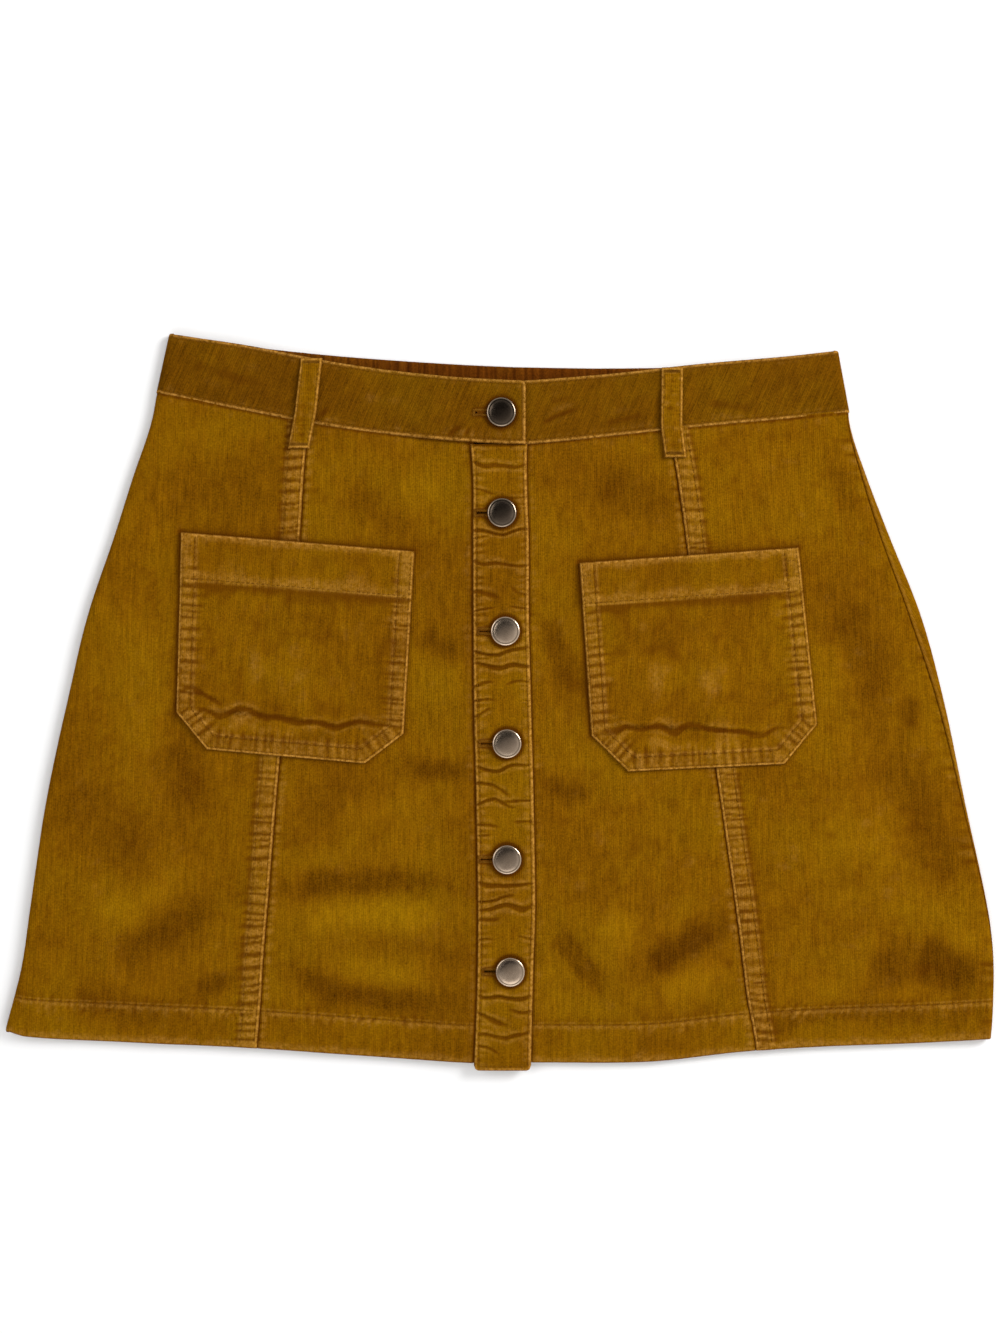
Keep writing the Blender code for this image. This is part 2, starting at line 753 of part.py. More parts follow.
def main():
    for item in list(bpy.data.objects):
        bpy.data.objects.remove(item, do_unlink=True)
    back_panel()
    panels = [
        side_panel("front_side_left", -1),
        centre_panel("front_centre_left", -1),
        centre_panel("front_centre_right", 1),
        side_panel("front_side_right", 1),
    ]
    placket_top = waist_seam(0.0) - WAIST_GAP
    placket_foot = hem_line(0.0)
    upper = strip(
        "placket_upper",
        lambda y: section("placket_left", y) + PLACKET_GAP / 2,
        lambda y: section("placket_right", y),
        placket_top,
        placket_foot - PLACKET_DROP,
        PLACKET_LEVEL,
    )
    under = strip(
        "placket_under",
        lambda y: section("placket_left", y) + 1.0,
        lambda y: section("placket_right", y) - PLACKET_COVER - PLACKET_GAP / 2,
        placket_top,
        placket_foot,
        UNDER_PLACKET_LEVEL,
    )
    band_back()
    band_left = band_front("waistband_left", -1, OVERLAP_END)
    band_right = band_front("waistband_right", 1, UNDERLAP_END)
    on_panels = laid_on(panels)
    for shape in POCKETS:
        pocket(shape, on_panels)
    on_waist = laid_on([*panels, band_left, band_right])
    for shape in BELT_LOOPS:
        belt_loop(shape, on_waist)
    for number, (x, y) in enumerate(BUTTONS, 1):
        pair = (band_left, band_right) if number == 1 else (upper, under)
        button(number, x, y, *pair)


main()
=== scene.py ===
"""Looks of a button-front A-line corduroy skirt that lies flat on its back.

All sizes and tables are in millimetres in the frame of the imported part: +X across the skirt, +Y from its
hem to its waist and +Z up from the table. They become metres where a mesh is written.
"""

import logging
import math
from dataclasses import dataclass, field
from enum import Enum
from functools import cache
from typing import Callable, ClassVar, NamedTuple

import bpy
import numpy as np
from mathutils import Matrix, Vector
from mathutils.bvhtree import BVHTree


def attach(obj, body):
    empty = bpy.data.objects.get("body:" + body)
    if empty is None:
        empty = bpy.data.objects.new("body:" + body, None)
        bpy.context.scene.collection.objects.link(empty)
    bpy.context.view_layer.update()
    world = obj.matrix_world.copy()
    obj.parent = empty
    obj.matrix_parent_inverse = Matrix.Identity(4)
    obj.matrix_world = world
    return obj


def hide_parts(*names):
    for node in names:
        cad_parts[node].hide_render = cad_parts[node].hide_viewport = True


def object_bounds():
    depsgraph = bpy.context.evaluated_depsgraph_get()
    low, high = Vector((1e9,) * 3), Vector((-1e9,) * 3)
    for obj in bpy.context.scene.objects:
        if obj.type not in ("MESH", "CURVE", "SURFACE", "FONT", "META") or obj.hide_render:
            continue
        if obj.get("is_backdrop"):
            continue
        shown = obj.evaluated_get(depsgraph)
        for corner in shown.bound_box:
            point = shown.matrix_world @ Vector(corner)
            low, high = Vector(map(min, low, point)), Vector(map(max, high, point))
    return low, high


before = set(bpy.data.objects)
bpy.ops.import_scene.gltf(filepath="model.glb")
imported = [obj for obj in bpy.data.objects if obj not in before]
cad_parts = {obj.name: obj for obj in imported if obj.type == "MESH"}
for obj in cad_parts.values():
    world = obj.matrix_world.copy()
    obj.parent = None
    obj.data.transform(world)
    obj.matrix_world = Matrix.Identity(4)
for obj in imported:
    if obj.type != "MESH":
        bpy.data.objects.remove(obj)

CAD_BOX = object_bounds()
LOG = logging.getLogger("skirt")
MM = 0.001
BODY = "root"
Array = np.ndarray
ArrayMap = Callable[[Array], Array]
Item = bpy.types.Object
Material = bpy.types.Material
Socket = bpy.types.NodeSocket

# Cloth.
CLOTH = 1.1
HEM_WALL = 2.2
BAND_WALL = 2.2
LOOP_WALL = 1.5
POCKET_WALL = 1.2
POCKET_HEM_WALL = 1.9
THIN_WALL = 0.6  # the least wall left under a dip
HEM_DEPTH = 24.0
HEM_LINE = HEM_DEPTH - 2.2  # height of the hem's stitching above its edge
SEAM_BAND = 9.8  # from a seam's edge to its second row of stitching
POCKET_BAND = 8.2  # the same at a pocket's edge
BAND_DEPTH = 37.0
BAND_LENGTH = 210.0
BACK_BAND_LENGTH = 390.0
LOOP_WIDTH = 12.4
LOOP_ARCH = 1.0
BUTTONHOLE_REACH = 15.2
BUTTONHOLE_HALF = 0.75  # half of the slit's width
BUTTONHOLE_EYE = 3.4
BUTTON_SINK = 8.0  # radius of the ring pressed into the cloth round a button
BUTTON_LIFT = 0.3
EDGE_ROUND = 0.9

# How the skirt lies: radii of its folds, levels of its faces and lengths over which they climb.
SIDE_RADIUS = 3.0
SIDE_QUARTER = SIDE_RADIUS * math.pi / 2
BAND_RADIUS = 2.85
BAND_QUARTER = BAND_RADIUS * math.pi / 2
BAND_TURNS = 8  # columns of a front band round its fold
BACK_BAND_TURNS = 6
LEFT_SEAM_REACH = -1.2
SIDE_SLOPE = 45.0
REST_LEVEL = 4.3
HEM_LEVEL = 4.75
WAIST_LEVEL = 4.9
BAND_LEVEL = 4.9
BAND_LIFT = 0.5
PLACKET_EDGE_LEVEL = 6.2
UNDER_EDGE_LEVEL = 4.65
UNDER_PLACKET_LEVEL = 4.7
PLACKET_LEVEL = 7.2
UNDERLAP_LEVEL = 5.7
OVERLAP_LEVEL = 8.2
PLACKET_SLOPE = 34.0
HEM_SLOPE = 12.0
WAIST_SLOPE = 18.0
ALLOWANCE_LIFT = 0.5
OVERLAP_END = 15.2
UNDERLAP_END = -14.0
OVERLAP_MARGIN = 18.0
OVERLAP_SLOPE = 38.0
PLACKET_COVER = 1.5
PLACKET_TUCK = 2.0
PANEL_TUCK = 1.5  # how far a panel goes on under the next piece
PLACKET_DROP = 4.0
BACK_HEM_LIFT = 2.0
BACK_HEM_END = 270.0

# Marks of wear, painted shade and painted light.
FOLD_GAIN = 1.5
EDGE_SINK = -0.45  # deeper than this a rounded edge doesn't count as a hollow
FOLD_SHADING_GAIN = 0.74  # a fold ridge this high gets full painted light, a trough this deep full painted shade
FOLD_SHADING_REACH = 9

# Stitching.
STITCH_PITCH = 2.9
THREAD = 0.42

# How far each row of stitching is from its edge.
SEAM_ROW = 1.7
POCKET_ROW = 1.6
POCKET_HEM_ROW = 1.8
BAND_TOP_ROW = 2.2
BAND_FOOT_ROW = 2.3
BAND_END_ROW = 2.2
PLACKET_LEFT_ROW = 2.3
PLACKET_RIGHT_ROW = 2.1

RAY_HEIGHT = 30.0  # above every face that is sewn on
STEEPEST = 3.0  # a stitch longer than this many times its run is left out
StitchRow = tuple[Array, Array, float]  # start points, end points and the thread's width


class Section(NamedTuple):
    """One height of the skirt: where its edges and seams are, in x, and the right side seam's inset."""

    y: float
    side_left: float
    seam_left: float
    placket_left: float
    placket_right: float
    seam_right: float
    side_right: float
    side_seam_inset: float


SECTIONS = (
    Section(-212.0, -287.0, -141.0, -14.7, 18.2, 149.5, 281.0, 0.0),
    Section(-190.0, -284.8, -139.0, -13.9, 18.6, 146.4, 283.6, 0.0),
    Section(-172.0, -280.2, -137.5, -13.2, 19.0, 143.0, 284.6, 0.0),
    Section(-150.0, -275.0, -136.3, -12.7, 19.6, 140.2, 284.7, 0.0),
    Section(-120.0, -270.7, -133.8, -12.5, 20.6, 136.4, 281.4, 0.6),
    Section(-60.0, -261.8, -129.0, -13.4, 19.8, 127.9, 268.7, 1.8),
    Section(0.0, -249.3, -123.6, -14.8, 18.2, 119.2, 256.3, 4.2),
    Section(50.0, -237.3, -118.9, -15.2, 17.0, 112.6, 242.8, 7.0),
    Section(95.0, -222.2, -115.1, -15.4, 16.9, 107.4, 224.9, 5.4),
    Section(130.0, -211.1, -112.9, -15.4, 15.8, 102.5, 211.5, 3.0),
    Section(160.0, -201.0, -110.3, -17.6, 16.2, 97.3, 201.8, 1.0),
    Section(185.0, -196.5, -109.0, -17.8, 16.4, 95.0, 200.6, 0.0),
)


class BandStation(NamedTuple):
    """One place along the waistband: the front's top and foot, and how far the back stands above it."""

    top_x: float
    top_y: float
    foot_x: float
    foot_y: float
    back_rise: float


BAND_STATIONS = (
    BandStation(-190.4, 212.0, -197.9, 177.8, 0.0),
    BandStation(-143.7, 205.1, -147.5, 167.8, 0.0),
    BandStation(-91.9, 195.3, -94.5, 158.0, 4.3),
    BandStation(-36.7, 187.8, -38.0, 151.2, 7.8),
    BandStation(0.0, 185.3, 0.0, 148.5, 8.4),
    BandStation(17.0, 185.2, 17.0, 148.4, 8.0),
    BandStation(62.4, 188.9, 63.0, 152.8, 3.7),
    BandStation(115.5, 194.7, 117.0, 158.4, -1.0),
    BandStation(161.6, 198.7, 165.0, 162.8, -1.0),
    BandStation(195.3, 202.2, 201.9, 166.4, 0.0),
)


class EdgePoint(NamedTuple):
    """A point of the front's hem."""

    x: float
    y: float


HEM_EDGE = (
    EdgePoint(-284.8, -189.0),
    EdgePoint(-272.0, -192.8),
    EdgePoint(-212.8, -196.2),
    EdgePoint(-143.7, -199.4),
    EdgePoint(-86.0, -203.4),
    EdgePoint(-17.0, -207.8),
    EdgePoint(20.4, -207.8),
    EdgePoint(86.7, -207.3),
    EdgePoint(138.5, -201.7),
    EdgePoint(184.6, -198.7),
    EdgePoint(240.0, -196.6),
    EdgePoint(284.8, -193.9),
)


class Crease(NamedTuple):
    """A soft ridge (lift above 0) or a trough (below 0) along a line of points."""

    points: tuple
    width: float
    lift: float


# The larger folds of the front, as the cloth lies.
FRONT_CREASES = (
    Crease(((-227, -146), (-190, -130), (-159, -109)), 15.0, -0.8),
    Crease(((-236, -128), (-200, -112), (-168, -92)), 17.0, 0.6),
    Crease(((-177, -166), (-152, -159)), 6.0, -0.5),
    Crease(((-205, 60), (-214, -40)), 24.0, 0.5),
    Crease(((-126, -106), (-70, -104), (-16, -106)), 10.0, -0.75),
    Crease(((-120, -124), (-70, -122), (-26, -126)), 13.0, 0.7),
    Crease(((-122, -153), (-97, -168), (-31, -175)), 9.0, -0.7),
    Crease(((-96, -152), (-60, -156), (-28, -160)), 9.0, 0.5),
    Crease(((-51, -38), (-16, -41)), 7.0, -0.6),
    Crease(((-96, -62), (-40, -66)), 15.0, 0.45),
    Crease(((33, -132), (46, -150), (62, -168)), 8.0, -0.8),
    Crease(((56, -126), (84, -134)), 14.0, 0.7),
    Crease(((82, -154), (104, -142), (129, -128)), 9.0, -0.8),
    Crease(((92, -170), (126, -156)), 11.0, 0.6),
    Crease(((24, -46), (38, -52), (56, -50)), 8.0, -0.5),
    Crease(((240, -140), (262, -152), (284, -158)), 13.0, -0.9),
    Crease(((222, -168), (270, -172)), 8.0, 0.5),
    Crease(((237, 4), (236, -18)), 6.0, -0.6),
    Crease(((180, -70), (240, -88)), 20.0, 0.5),
    Crease(((192, 138), (206, 104)), 9.0, -0.5),
    Crease(((-60, 120), (-30, 128)), 12.0, 0.4),
    Crease(((206, -146), (246, -164), (290, -184)), 24.0, -1.0),
    Crease(((226, -20), (248, -76), (268, -120)), 20.0, -0.6),
    Crease(((-194, 128), (-160, 122), (-128, 128)), 20.0, -0.5),
    Crease(((-190, -20), (-178, -52), (-160, -60)), 14.0, -0.6),
    Crease(((52, 128), (90, 118), (104, 96)), 16.0, -0.6),
    Crease(((-92, 122), (-66, 106), (-52, 92)), 14.0, -0.45),
    Crease(((26, 52), (36, 22), (46, 0)), 9.0, -0.6),
    Crease(((-48, 40), (-30, 30), (-20, 36)), 8.0, -0.5),
    Crease(((190, 60), (214, 20), (222, -20)), 16.0, -0.5),
    Crease(((-256, -50), (-226, -76), (-190, -78)), 26.0, -0.45),
    Crease(((-250, -166), (-214, -178), (-180, -180)), 12.0, -0.5),
    Crease(((150, -186), (200, -178), (240, -182)), 9.0, -0.45),
)

# Short wrinkles across the placket, and its dark hollows under the buttons.
PLACKET_CREASES = (
    Crease(((-18, 139), (0, 135), (18, 137)), 1.02, -0.55),
    Crease(((-16, 122), (-2, 119)), 0.82, -0.35),
    Crease(((4, 116), (19, 120)), 0.75, -0.3),
    Crease(((-18, 99), (2, 97), (20, 99.5)), 1.02, -0.85),
    Crease(((-17, 94), (-6, 95)), 0.75, -0.4),
    Crease(((-18, 83), (6, 79.5), (20, 78)), 0.95, -0.6),
    Crease(((-18, 63), (0, 61)), 0.82, -0.5),
    Crease(((6, 66), (19, 63)), 0.68, -0.25),
    Crease(((-17, 52), (-3, 55)), 0.88, -0.5),
    Crease(((6, 56), (20, 51)), 0.82, -0.4),
    Crease(((-18, 30), (0, 27), (20, 31)), 1.09, -0.85),
    Crease(((-17, 22), (2, 19), (21, 23)), 1.09, -0.9),
    Crease(((-16, 24), (-4, 26)), 0.75, -0.35),
    Crease(((-17, 11), (-4, 12)), 0.88, -0.5),
    Crease(((4, 10), (20, 13)), 0.75, -0.3),
    Crease(((-17, 2), (-2, -1)), 0.82, -0.45),
    Crease(((-16, -9), (-4, -6)), 0.75, -0.4),
    Crease(((-16, -36), (0, -39), (20, -35)), 1.02, -0.8),
    Crease(((-16, -46), (-4, -48), (6, -54)), 0.95, -0.6),
    Crease(((2, -57), (22, -55)), 0.82, -0.5),
    Crease(((-16, -59), (-2, -57), (8, -60)), 0.95, -0.65),
    Crease(((-16, -70), (0, -72)), 0.88, -0.5),
    Crease(((8, -68), (22, -70)), 0.75, -0.35),
    Crease(((-15, -79), (-4, -77)), 0.75, -0.4),
    Crease(((-15, -103), (2, -106), (22, -103)), 1.02, -0.75),
    Crease(((-15, -113), (-2, -115), (8, -112)), 0.95, -0.7),
    Crease(((-15, -121), (2, -119), (22, -116)), 1.02, -0.75),
    Crease(((-14, -127), (0, -124)), 0.82, -0.5),
    Crease(((-15, -139), (-3, -137)), 0.82, -0.45),
    Crease(((10, -136), (22, -138)), 0.68, -0.3),
    Crease(((-14, -166), (4, -171), (22, -168)), 1.16, -0.9),
    Crease(((-14, -179), (-2, -184), (4, -186)), 1.09, -0.7),
    Crease(((6, -178), (21, -176)), 0.88, -0.5),
    Crease(((-14, -190), (4, -193), (21, -189)), 1.02, -0.6),
    Crease(((-13, -199), (0, -201)), 0.82, -0.4),
)

BAND_CREASES = (
    Crease(((-17, 158), (-20, 152)), 1.2, -0.4),
    Crease(((-30, 153), (-25, 157), (-20, 158)), 1.2, -0.4),
    Crease(((-28, 150), (-24, 160)), 1.5, -0.35),
    Crease(((24, 160), (34, 165), (46, 169)), 1.5, -0.45),
    Crease(((28, 172), (44, 176)), 2.0, -0.25),
    Crease(((60, 160), (86, 166)), 3.0, -0.3),
    Crease(((118, 172), (150, 168)), 4.0, -0.3),
    Crease(((-180, 196), (-150, 186), (-128, 182)), 5.0, -0.35),
    Crease(((-80, 176), (-52, 172)), 5.0, 0.3),
    Crease(((-110, 160), (-96, 170)), 3.0, -0.4),
)


class PocketShape(NamedTuple):
    """A patch pocket's corners, the depth of its hem and its folds."""

    name: str
    top_left: tuple
    low_left: tuple
    bottom_left: tuple
    top_right: tuple
    low_right: tuple
    bottom_right: tuple
    hem_depth: float
    creases: tuple
    seed: int

    @property
    def left(self) -> tuple:
        """The left side's corners from the foot up."""
        return self.bottom_left, self.low_left, self.top_left

    @property
    def right(self) -> tuple:
        """The right side's corners from the foot up."""
        return self.bottom_right, self.low_right, self.top_right

    @property
    def corners(self) -> tuple:
        """The sewn sides' corners, from the top left round the foot to the top right."""
        return *self.left[::-1], *self.right

    @property
    def side(self) -> int:
        """The half of the skirt it is on: -1 for the left, 1 for the right."""
        return -1 if self.top_left[0] < 0 else 1

    @property
    def slope(self) -> float:
        """Rise of the top edge for each millimetre across."""
        return (self.top_right[1] - self.top_left[1]) / (self.top_right[0] - self.top_left[0])

    def top(self, x: "Array") -> "Array":
        """Height of the top edge at x."""
        return self.top_left[1] + self.slope * (x - self.top_left[0])


POCKETS = (
    PocketShape(
        "pocket_left",
        (-183.1, 97.7),
        (-186.0, -5.9),
        (-168.3, -27.4),
        (-48.9, 86.7),
        (-55.1, -18.4),
        (-77.6, -35.5),
        28.0,
        (
            Crease(((-184, 6), (-172, 5), (-160, 0)), 1.2, -0.7),
            Crease(((-176, -5), (-152, -6), (-117, -10), (-94, -14), (-80, -11), (-57, -14)), 1.3, -1.0),
            Crease(((-165, -13), (-140, -15), (-110, -17)), 5.0, 0.5),
            Crease(((-150, 18), (-100, 12)), 14.0, 0.5),
            Crease(((-130, 54), (-90, 46)), 16.0, -0.4),
        ),
        11,
    ),
    PocketShape(
        "pocket_right",
        (46.0, 80.1),
        (52.8, -19.2),
        (74.2, -40.1),
        (172.0, 88.9),
        (182.8, -12.9),
        (163.8, -35.8),
        25.5,
        (
            Crease(((55, -19), (67, -18), (73, -14), (111, -15), (146, -18), (164, -16)), 1.3, -0.95),
            Crease(((76, -24), (110, -25), (150, -26)), 5.0, 0.5),
            Crease(((80, 12), (140, 16)), 15.0, 0.5),
            Crease(((60, 40), (110, 34)), 14.0, -0.4),
        ),
        23,
    ),
)


class LoopShape(NamedTuple):
    """A belt loop's centre line, from the waistband's top edge to its bar tack."""

    name: str
    top: tuple
    bend: tuple
    end: tuple

    @property
    def middle(self) -> "Line":
        """The centre line from its foot up."""
        return Line([self.end, self.bend, self.top])


BELT_LOOPS = (
    LoopShape("belt_loop_left", (-108.0, 197.8), (-111.6, 165.0), (-115.6, 145.8)),
    LoopShape("belt_loop_right", (99.4, 192.4), (98.8, 158.0), (101.4, 140.6)),
)


class ButtonPlace(NamedTuple):
    """A button's centre and how dark its cap is painted, 1 for the darkest, as a painted reflection."""

    x: float
    y: float
    dark: float


# The dark column is painted reflection: the upper caps are darker to stand in for the dark ceiling that they
# reflect.
BUTTONS = (
    ButtonPlace(1.0, 166.2, 1.0),
    ButtonPlace(1.4, 108.6, 0.9),
    ButtonPlace(3.4, 40.7, 0.0),
    ButtonPlace(4.3, -23.9, 0.25),
    ButtonPlace(4.3, -90.4, 0.35),
    ButtonPlace(6.2, -154.9, 0.2),
)


def mix(a: Array, b: Array, t: Array) -> Array:
    """Value between a and b at share t."""
    return a + (b - a) * t


def ease(t: Array) -> Array:
    """Smooth step from 0 to 1."""
    t = np.clip(t, 0.0, 1.0)
    return t * t * (3 - 2 * t)


def bump(distance: Array, width: float) -> Array:
    """Soft bump of height 1 at distance 0."""
    return np.exp(-((distance / width) ** 2))


class Curve:
    """A smooth curve through (place, value) pairs whose places rise."""

    def __init__(self, places: list[float], values: list[float]) -> None:
        """Keeps the points and works out a slope at each.

        Args:
            places: rising places.
            values: the value at each place.
        """
        self.places = np.array(places, float)
        self.values = np.array(values, float)
        before = np.maximum(np.arange(len(places)) - 1, 0)
        after = np.minimum(np.arange(len(places)) + 1, len(places) - 1)
        run = self.places[after] - self.places[before]
        self.slopes = (self.values[after] - self.values[before]) / run

    def __call__(self, at: Array) -> Array:
        """Values at some places; past an end it keeps the end's value."""
        at = np.clip(at, self.places[0], self.places[-1])
        i = np.clip(np.searchsorted(self.places, at) - 1, 0, len(self.places) - 2)
        span = self.places[i + 1] - self.places[i]
        t = (at - self.places[i]) / span
        first = (1 + 2 * t) * (1 - t) ** 2 * self.values[i] + t * (1 - t) ** 2 * span * self.slopes[i]
        last = t * t * (3 - 2 * t) * self.values[i + 1] + t * t * (t - 1) * span * self.slopes[i + 1]
        return first + last


class Line:
    """A line on the cloth in plan, through points."""

    def __init__(self, points: list[tuple[float, float]] | Array) -> None:
        """Keeps the points and the length along the line at each."""
        self.points = np.array(points, float)
        steps = np.linalg.norm(np.diff(self.points, axis=0), axis=1)
        self.marks = np.concatenate([[0.0], np.cumsum(steps)])
        self.length = float(self.marks[-1])

    def near(self, x: Array, y: Array) -> tuple[Array, Array]:
        """Nearest place on the line to each point.

        Args:
            x: places across.
            y: places along.

        Returns:
            The length along the line, and the distance from it, above 0 on its left.
        """
        best = np.full(x.shape, 1e9)
        along = np.zeros(x.shape)
        offset = np.zeros(x.shape)
        for start, end, mark in zip(self.points, self.points[1:], self.marks):
            run = end - start
            length = math.hypot(*run)
            px, py = x - start[0], y - start[1]
            share = np.clip((px * run[0] + py * run[1]) / length**2, 0.0, 1.0)
            distance = np.hypot(px - run[0] * share, py - run[1] * share)
            side = np.where(run[0] * py - run[1] * px >= 0, 1.0, -1.0)
            closer = distance < best
            best = np.where(closer, distance, best)
            along = np.where(closer, mark + share * length, along)
            offset = np.where(closer, side * distance, offset)
        return along, offset

    def at(self, along: Array) -> tuple[Array, Array]:
        """(x, y) at some lengths along the line."""
        return (
            np.interp(along, self.marks, self.points[:, 0]),
            np.interp(along, self.marks, self.points[:, 1]),
        )

    def shifted(self, offset: float) -> "Line":
        """The same line moved to its left by an offset."""
        ends = np.gradient(self.points, axis=0)
        ends /= np.linalg.norm(ends, axis=1)[:, None]
        return Line(self.points + offset * np.stack([-ends[:, 1], ends[:, 0]], axis=1))


def crease_relief(creases: tuple[Crease, ...], x: Array, y: Array) -> Array:
    """Height of some creases: a trough has low shoulders, and each fades at its ends.

    Args:
        creases: the creases.
        x: places across.
        y: places along.

    Returns:
        The height at each place.
    """
    total = np.zeros(x.shape)
    for crease in creases:
        line = Line(crease.points)
        along, offset = line.near(x, y)
        start, end = ease(along / (0.2 * line.length)), ease((line.length - along) / (0.35 * line.length))
        fade = 0.25 + 0.75 * start * end
        shape = bump(offset, crease.width)
        if crease.lift < 0:
            shape = 1.3 * shape - 0.3 * bump(offset, 2.4 * crease.width)
        total += crease.lift * fade * shape
    return total


class Gathers:
    """Small uneven gathers along a line of stitching."""

    def __init__(
        self, seed: int, length: float, pitch: float, lift: float, lean: float = 0.35, start: float = 0.0
    ) -> None:
        """Places the gathers.

        Args:
            seed: sets their order.
            length: of the line.
            pitch: mean distance between two gathers.
            lift: height of the largest.
            lean: largest slant, as a run for each unit across.
            start: where the line starts.
        """
        rng = np.random.default_rng(seed)
        count = int(length / pitch * 1.6) + 12
        self.places = np.cumsum(rng.uniform(0.4, 1.7, count) * pitch) - 4 * pitch + start
        self.lifts = rng.uniform(0.15, 1.1, count) * lift
        self.leans = np.convolve(rng.uniform(-1, 1, count), np.ones(7) / 7, "same") * lean * 2

    def height(self, along: Array, across: Array) -> Array:
        """Height of the gathers: pillows between narrow pinches."""
        along = along + np.interp(along, self.places, self.leans) * np.clip(across, -8.0, 8.0)
        phase = np.interp(along, self.places, np.arange(len(self.places)))
        lift = np.interp(along, self.places, self.lifts)
        pinch = (0.5 + 0.5 * np.cos(2 * math.pi * phase)) ** 2
        side = np.interp(along, self.places, self.leans[::-1])
        return lift * (0.45 - pinch * (0.75 + 0.8 * side * np.sin(across * 0.55 + 3 * lift)))


SEAM_GATHERS = {side: Gathers(seed, 420.0, 4.6, 0.95, 0.22, -215.0) for side, seed in ((-1, 41), (1, 43))}
WAIST_GATHERS = {side: Gathers(seed, 440.0, 4.6, 0.3, 0.2, -215.0) for side, seed in ((-1, 53), (1, 59))}
PLACKET_GATHERS = Gathers(47, 420.0, 4.6, 0.6, start=-215.0)
HEM_GATHERS = Gathers(61, 600.0, 4.2, 0.4, 0.6, -300.0)
SIDE_GATHERS = Gathers(67, 420.0, 10.0, 0.35, 0.2, -215.0)
RIB_GATHERS = Gathers(71, 420.0, 4.2, 0.55, 0.1, -205.0)


class Ripple:
    """Seeded soft unevenness of a cloth, as a sum of a few waves."""

    def __init__(self, seed: int, size: float, lift: float, waves: int = 9) -> None:
        """Sets the waves' directions, lengths and phases."""
        rng = np.random.default_rng(seed)
        angle = rng.uniform(0, math.tau, waves)
        rate = math.tau / (size * rng.uniform(0.6, 1.9, waves))
        self.rates = np.stack([rate * np.cos(angle), rate * np.sin(angle)], axis=1)
        self.phases = rng.uniform(0, math.tau, waves)
        self.lift = lift / math.sqrt(waves)

    def height(self, x: Array, y: Array) -> Array:
        """Height at some places."""
        total = np.zeros(np.shape(x))
        for (rate_x, rate_y), phase in zip(self.rates, self.phases):
            total = total + np.sin(rate_x * x + rate_y * y + phase)
        return total * self.lift


def stitch_groove(along: Array, offset: Array, depth: float = 0.3) -> Array:
    """Height beside a row of stitches: a groove with a dimple at each needle hole."""
    holes = 0.5 + 0.5 * np.cos(math.tau * along / STITCH_PITCH)
    return -depth * bump(offset, 0.75) * (0.55 + 0.45 * holes)


def round_edge(distance: Array, radius: float = EDGE_ROUND) -> Array:
    """How far a face sinks towards an edge that is rounded."""
    inside = np.clip(1 - distance / radius, 0.0, 1.0)
    return -radius * (1 - np.sqrt(np.clip(1 - inside**2, 0.0, 1.0)))


class Layout:
    """Where the skirt's edges, seams and faces are as it lies."""

    def __init__(self) -> None:
        """Makes a curve from each column of the tables."""
        heights = [row.y for row in SECTIONS]
        self.column = {
            name: Curve(heights, [getattr(row, name) for row in SECTIONS]) for name in Section._fields[1:]
        }
        self.waist = Curve([row.foot_x for row in BAND_STATIONS], [row.foot_y for row in BAND_STATIONS])
        self.rise = Curve([row.foot_x for row in BAND_STATIONS], [row.back_rise for row in BAND_STATIONS])
        self.hem = Curve([row.x for row in HEM_EDGE], [row.y for row in HEM_EDGE])
        places = list(np.linspace(0.0, 1.0, len(BAND_STATIONS)))
        self.band = {
            name: Curve(places, [getattr(row, name) for row in BAND_STATIONS]) for name in BandStation._fields
        }
        self.band_share = Curve([row.top_x for row in BAND_STATIONS], places)

    def side(self, side: int, y: Array) -> Array:
        """x of a side fold's outermost line; side is -1 at the left and 1 at the right."""
        return self.column["side_left" if side < 0 else "side_right"](y)

    def seam(self, side: int, y: Array) -> Array:
        """x of a front seam."""
        return self.column["seam_left" if side < 0 else "seam_right"](y)

    def placket(self, side: int, y: Array) -> Array:
        """x of one of the placket's edges."""
        return self.column["placket_left" if side < 0 else "placket_right"](y)

    def back_rise(self, x: Array) -> Array:
        """How far the back's waist seam is above the front's."""
        return np.maximum(0.0, self.rise(x))

    def side_seam_reach(self, side: int, y: Array) -> Array:
        """Where a side seam is, as a length along the cloth from the fold's outermost line."""
        if side < 0:
            return np.full(np.shape(y), LEFT_SEAM_REACH)
        inset = np.maximum(0.0, self.column["side_seam_inset"](y))
        turned = SIDE_RADIUS * np.arccos(np.clip(1 - inset / SIDE_RADIUS, -1.0, 1.0))
        return np.where(inset < SIDE_RADIUS, turned, SIDE_RADIUS * math.pi / 2 + inset - SIDE_RADIUS)

    def folds(self, x: Array, y: Array) -> Array:
        """Height of the front panels' larger folds."""
        return FOLD_GAIN * crease_relief(FRONT_CREASES, x, y)

    def level(self, x: Array, y: Array) -> Array:
        """Height of the front panels' outer face, with its larger folds."""
        level = REST_LEVEL + self.folds(x, y)
        hem = ease(1 - (y - self.hem(x) - HEM_DEPTH) / HEM_SLOPE)
        level = mix(level, np.maximum(level, HEM_LEVEL), hem)
        level = mix(level, WAIST_LEVEL, ease(1 - (self.waist(x) - y) / WAIST_SLOPE))
        inside = np.where(x < 0, x - self.side(-1, y), self.side(1, y) - x) - SIDE_RADIUS
        level = mix(2 * SIDE_RADIUS, level, ease(inside / SIDE_SLOPE))
        climb = ease(1 - (self.placket(-1, y) - x) / PLACKET_SLOPE)
        beside = ease(1 - (x - self.placket(1, y)) / (2 * PLACKET_COVER))
        return np.where(x < 0, mix(level, PLACKET_EDGE_LEVEL, climb), mix(level, UNDER_EDGE_LEVEL, beside))

    def band_point(self, share: Array, v: Array) -> tuple[Array, Array]:
        """(x, y) in the front waistband at a share of its length; v is 0 at its top and 1 at its foot."""
        foot_x = self.band["foot_x"](share)
        y = mix(self.band["top_y"](share), self.waist(foot_x), v)
        return mix(self.band["top_x"](share), foot_x, v), y


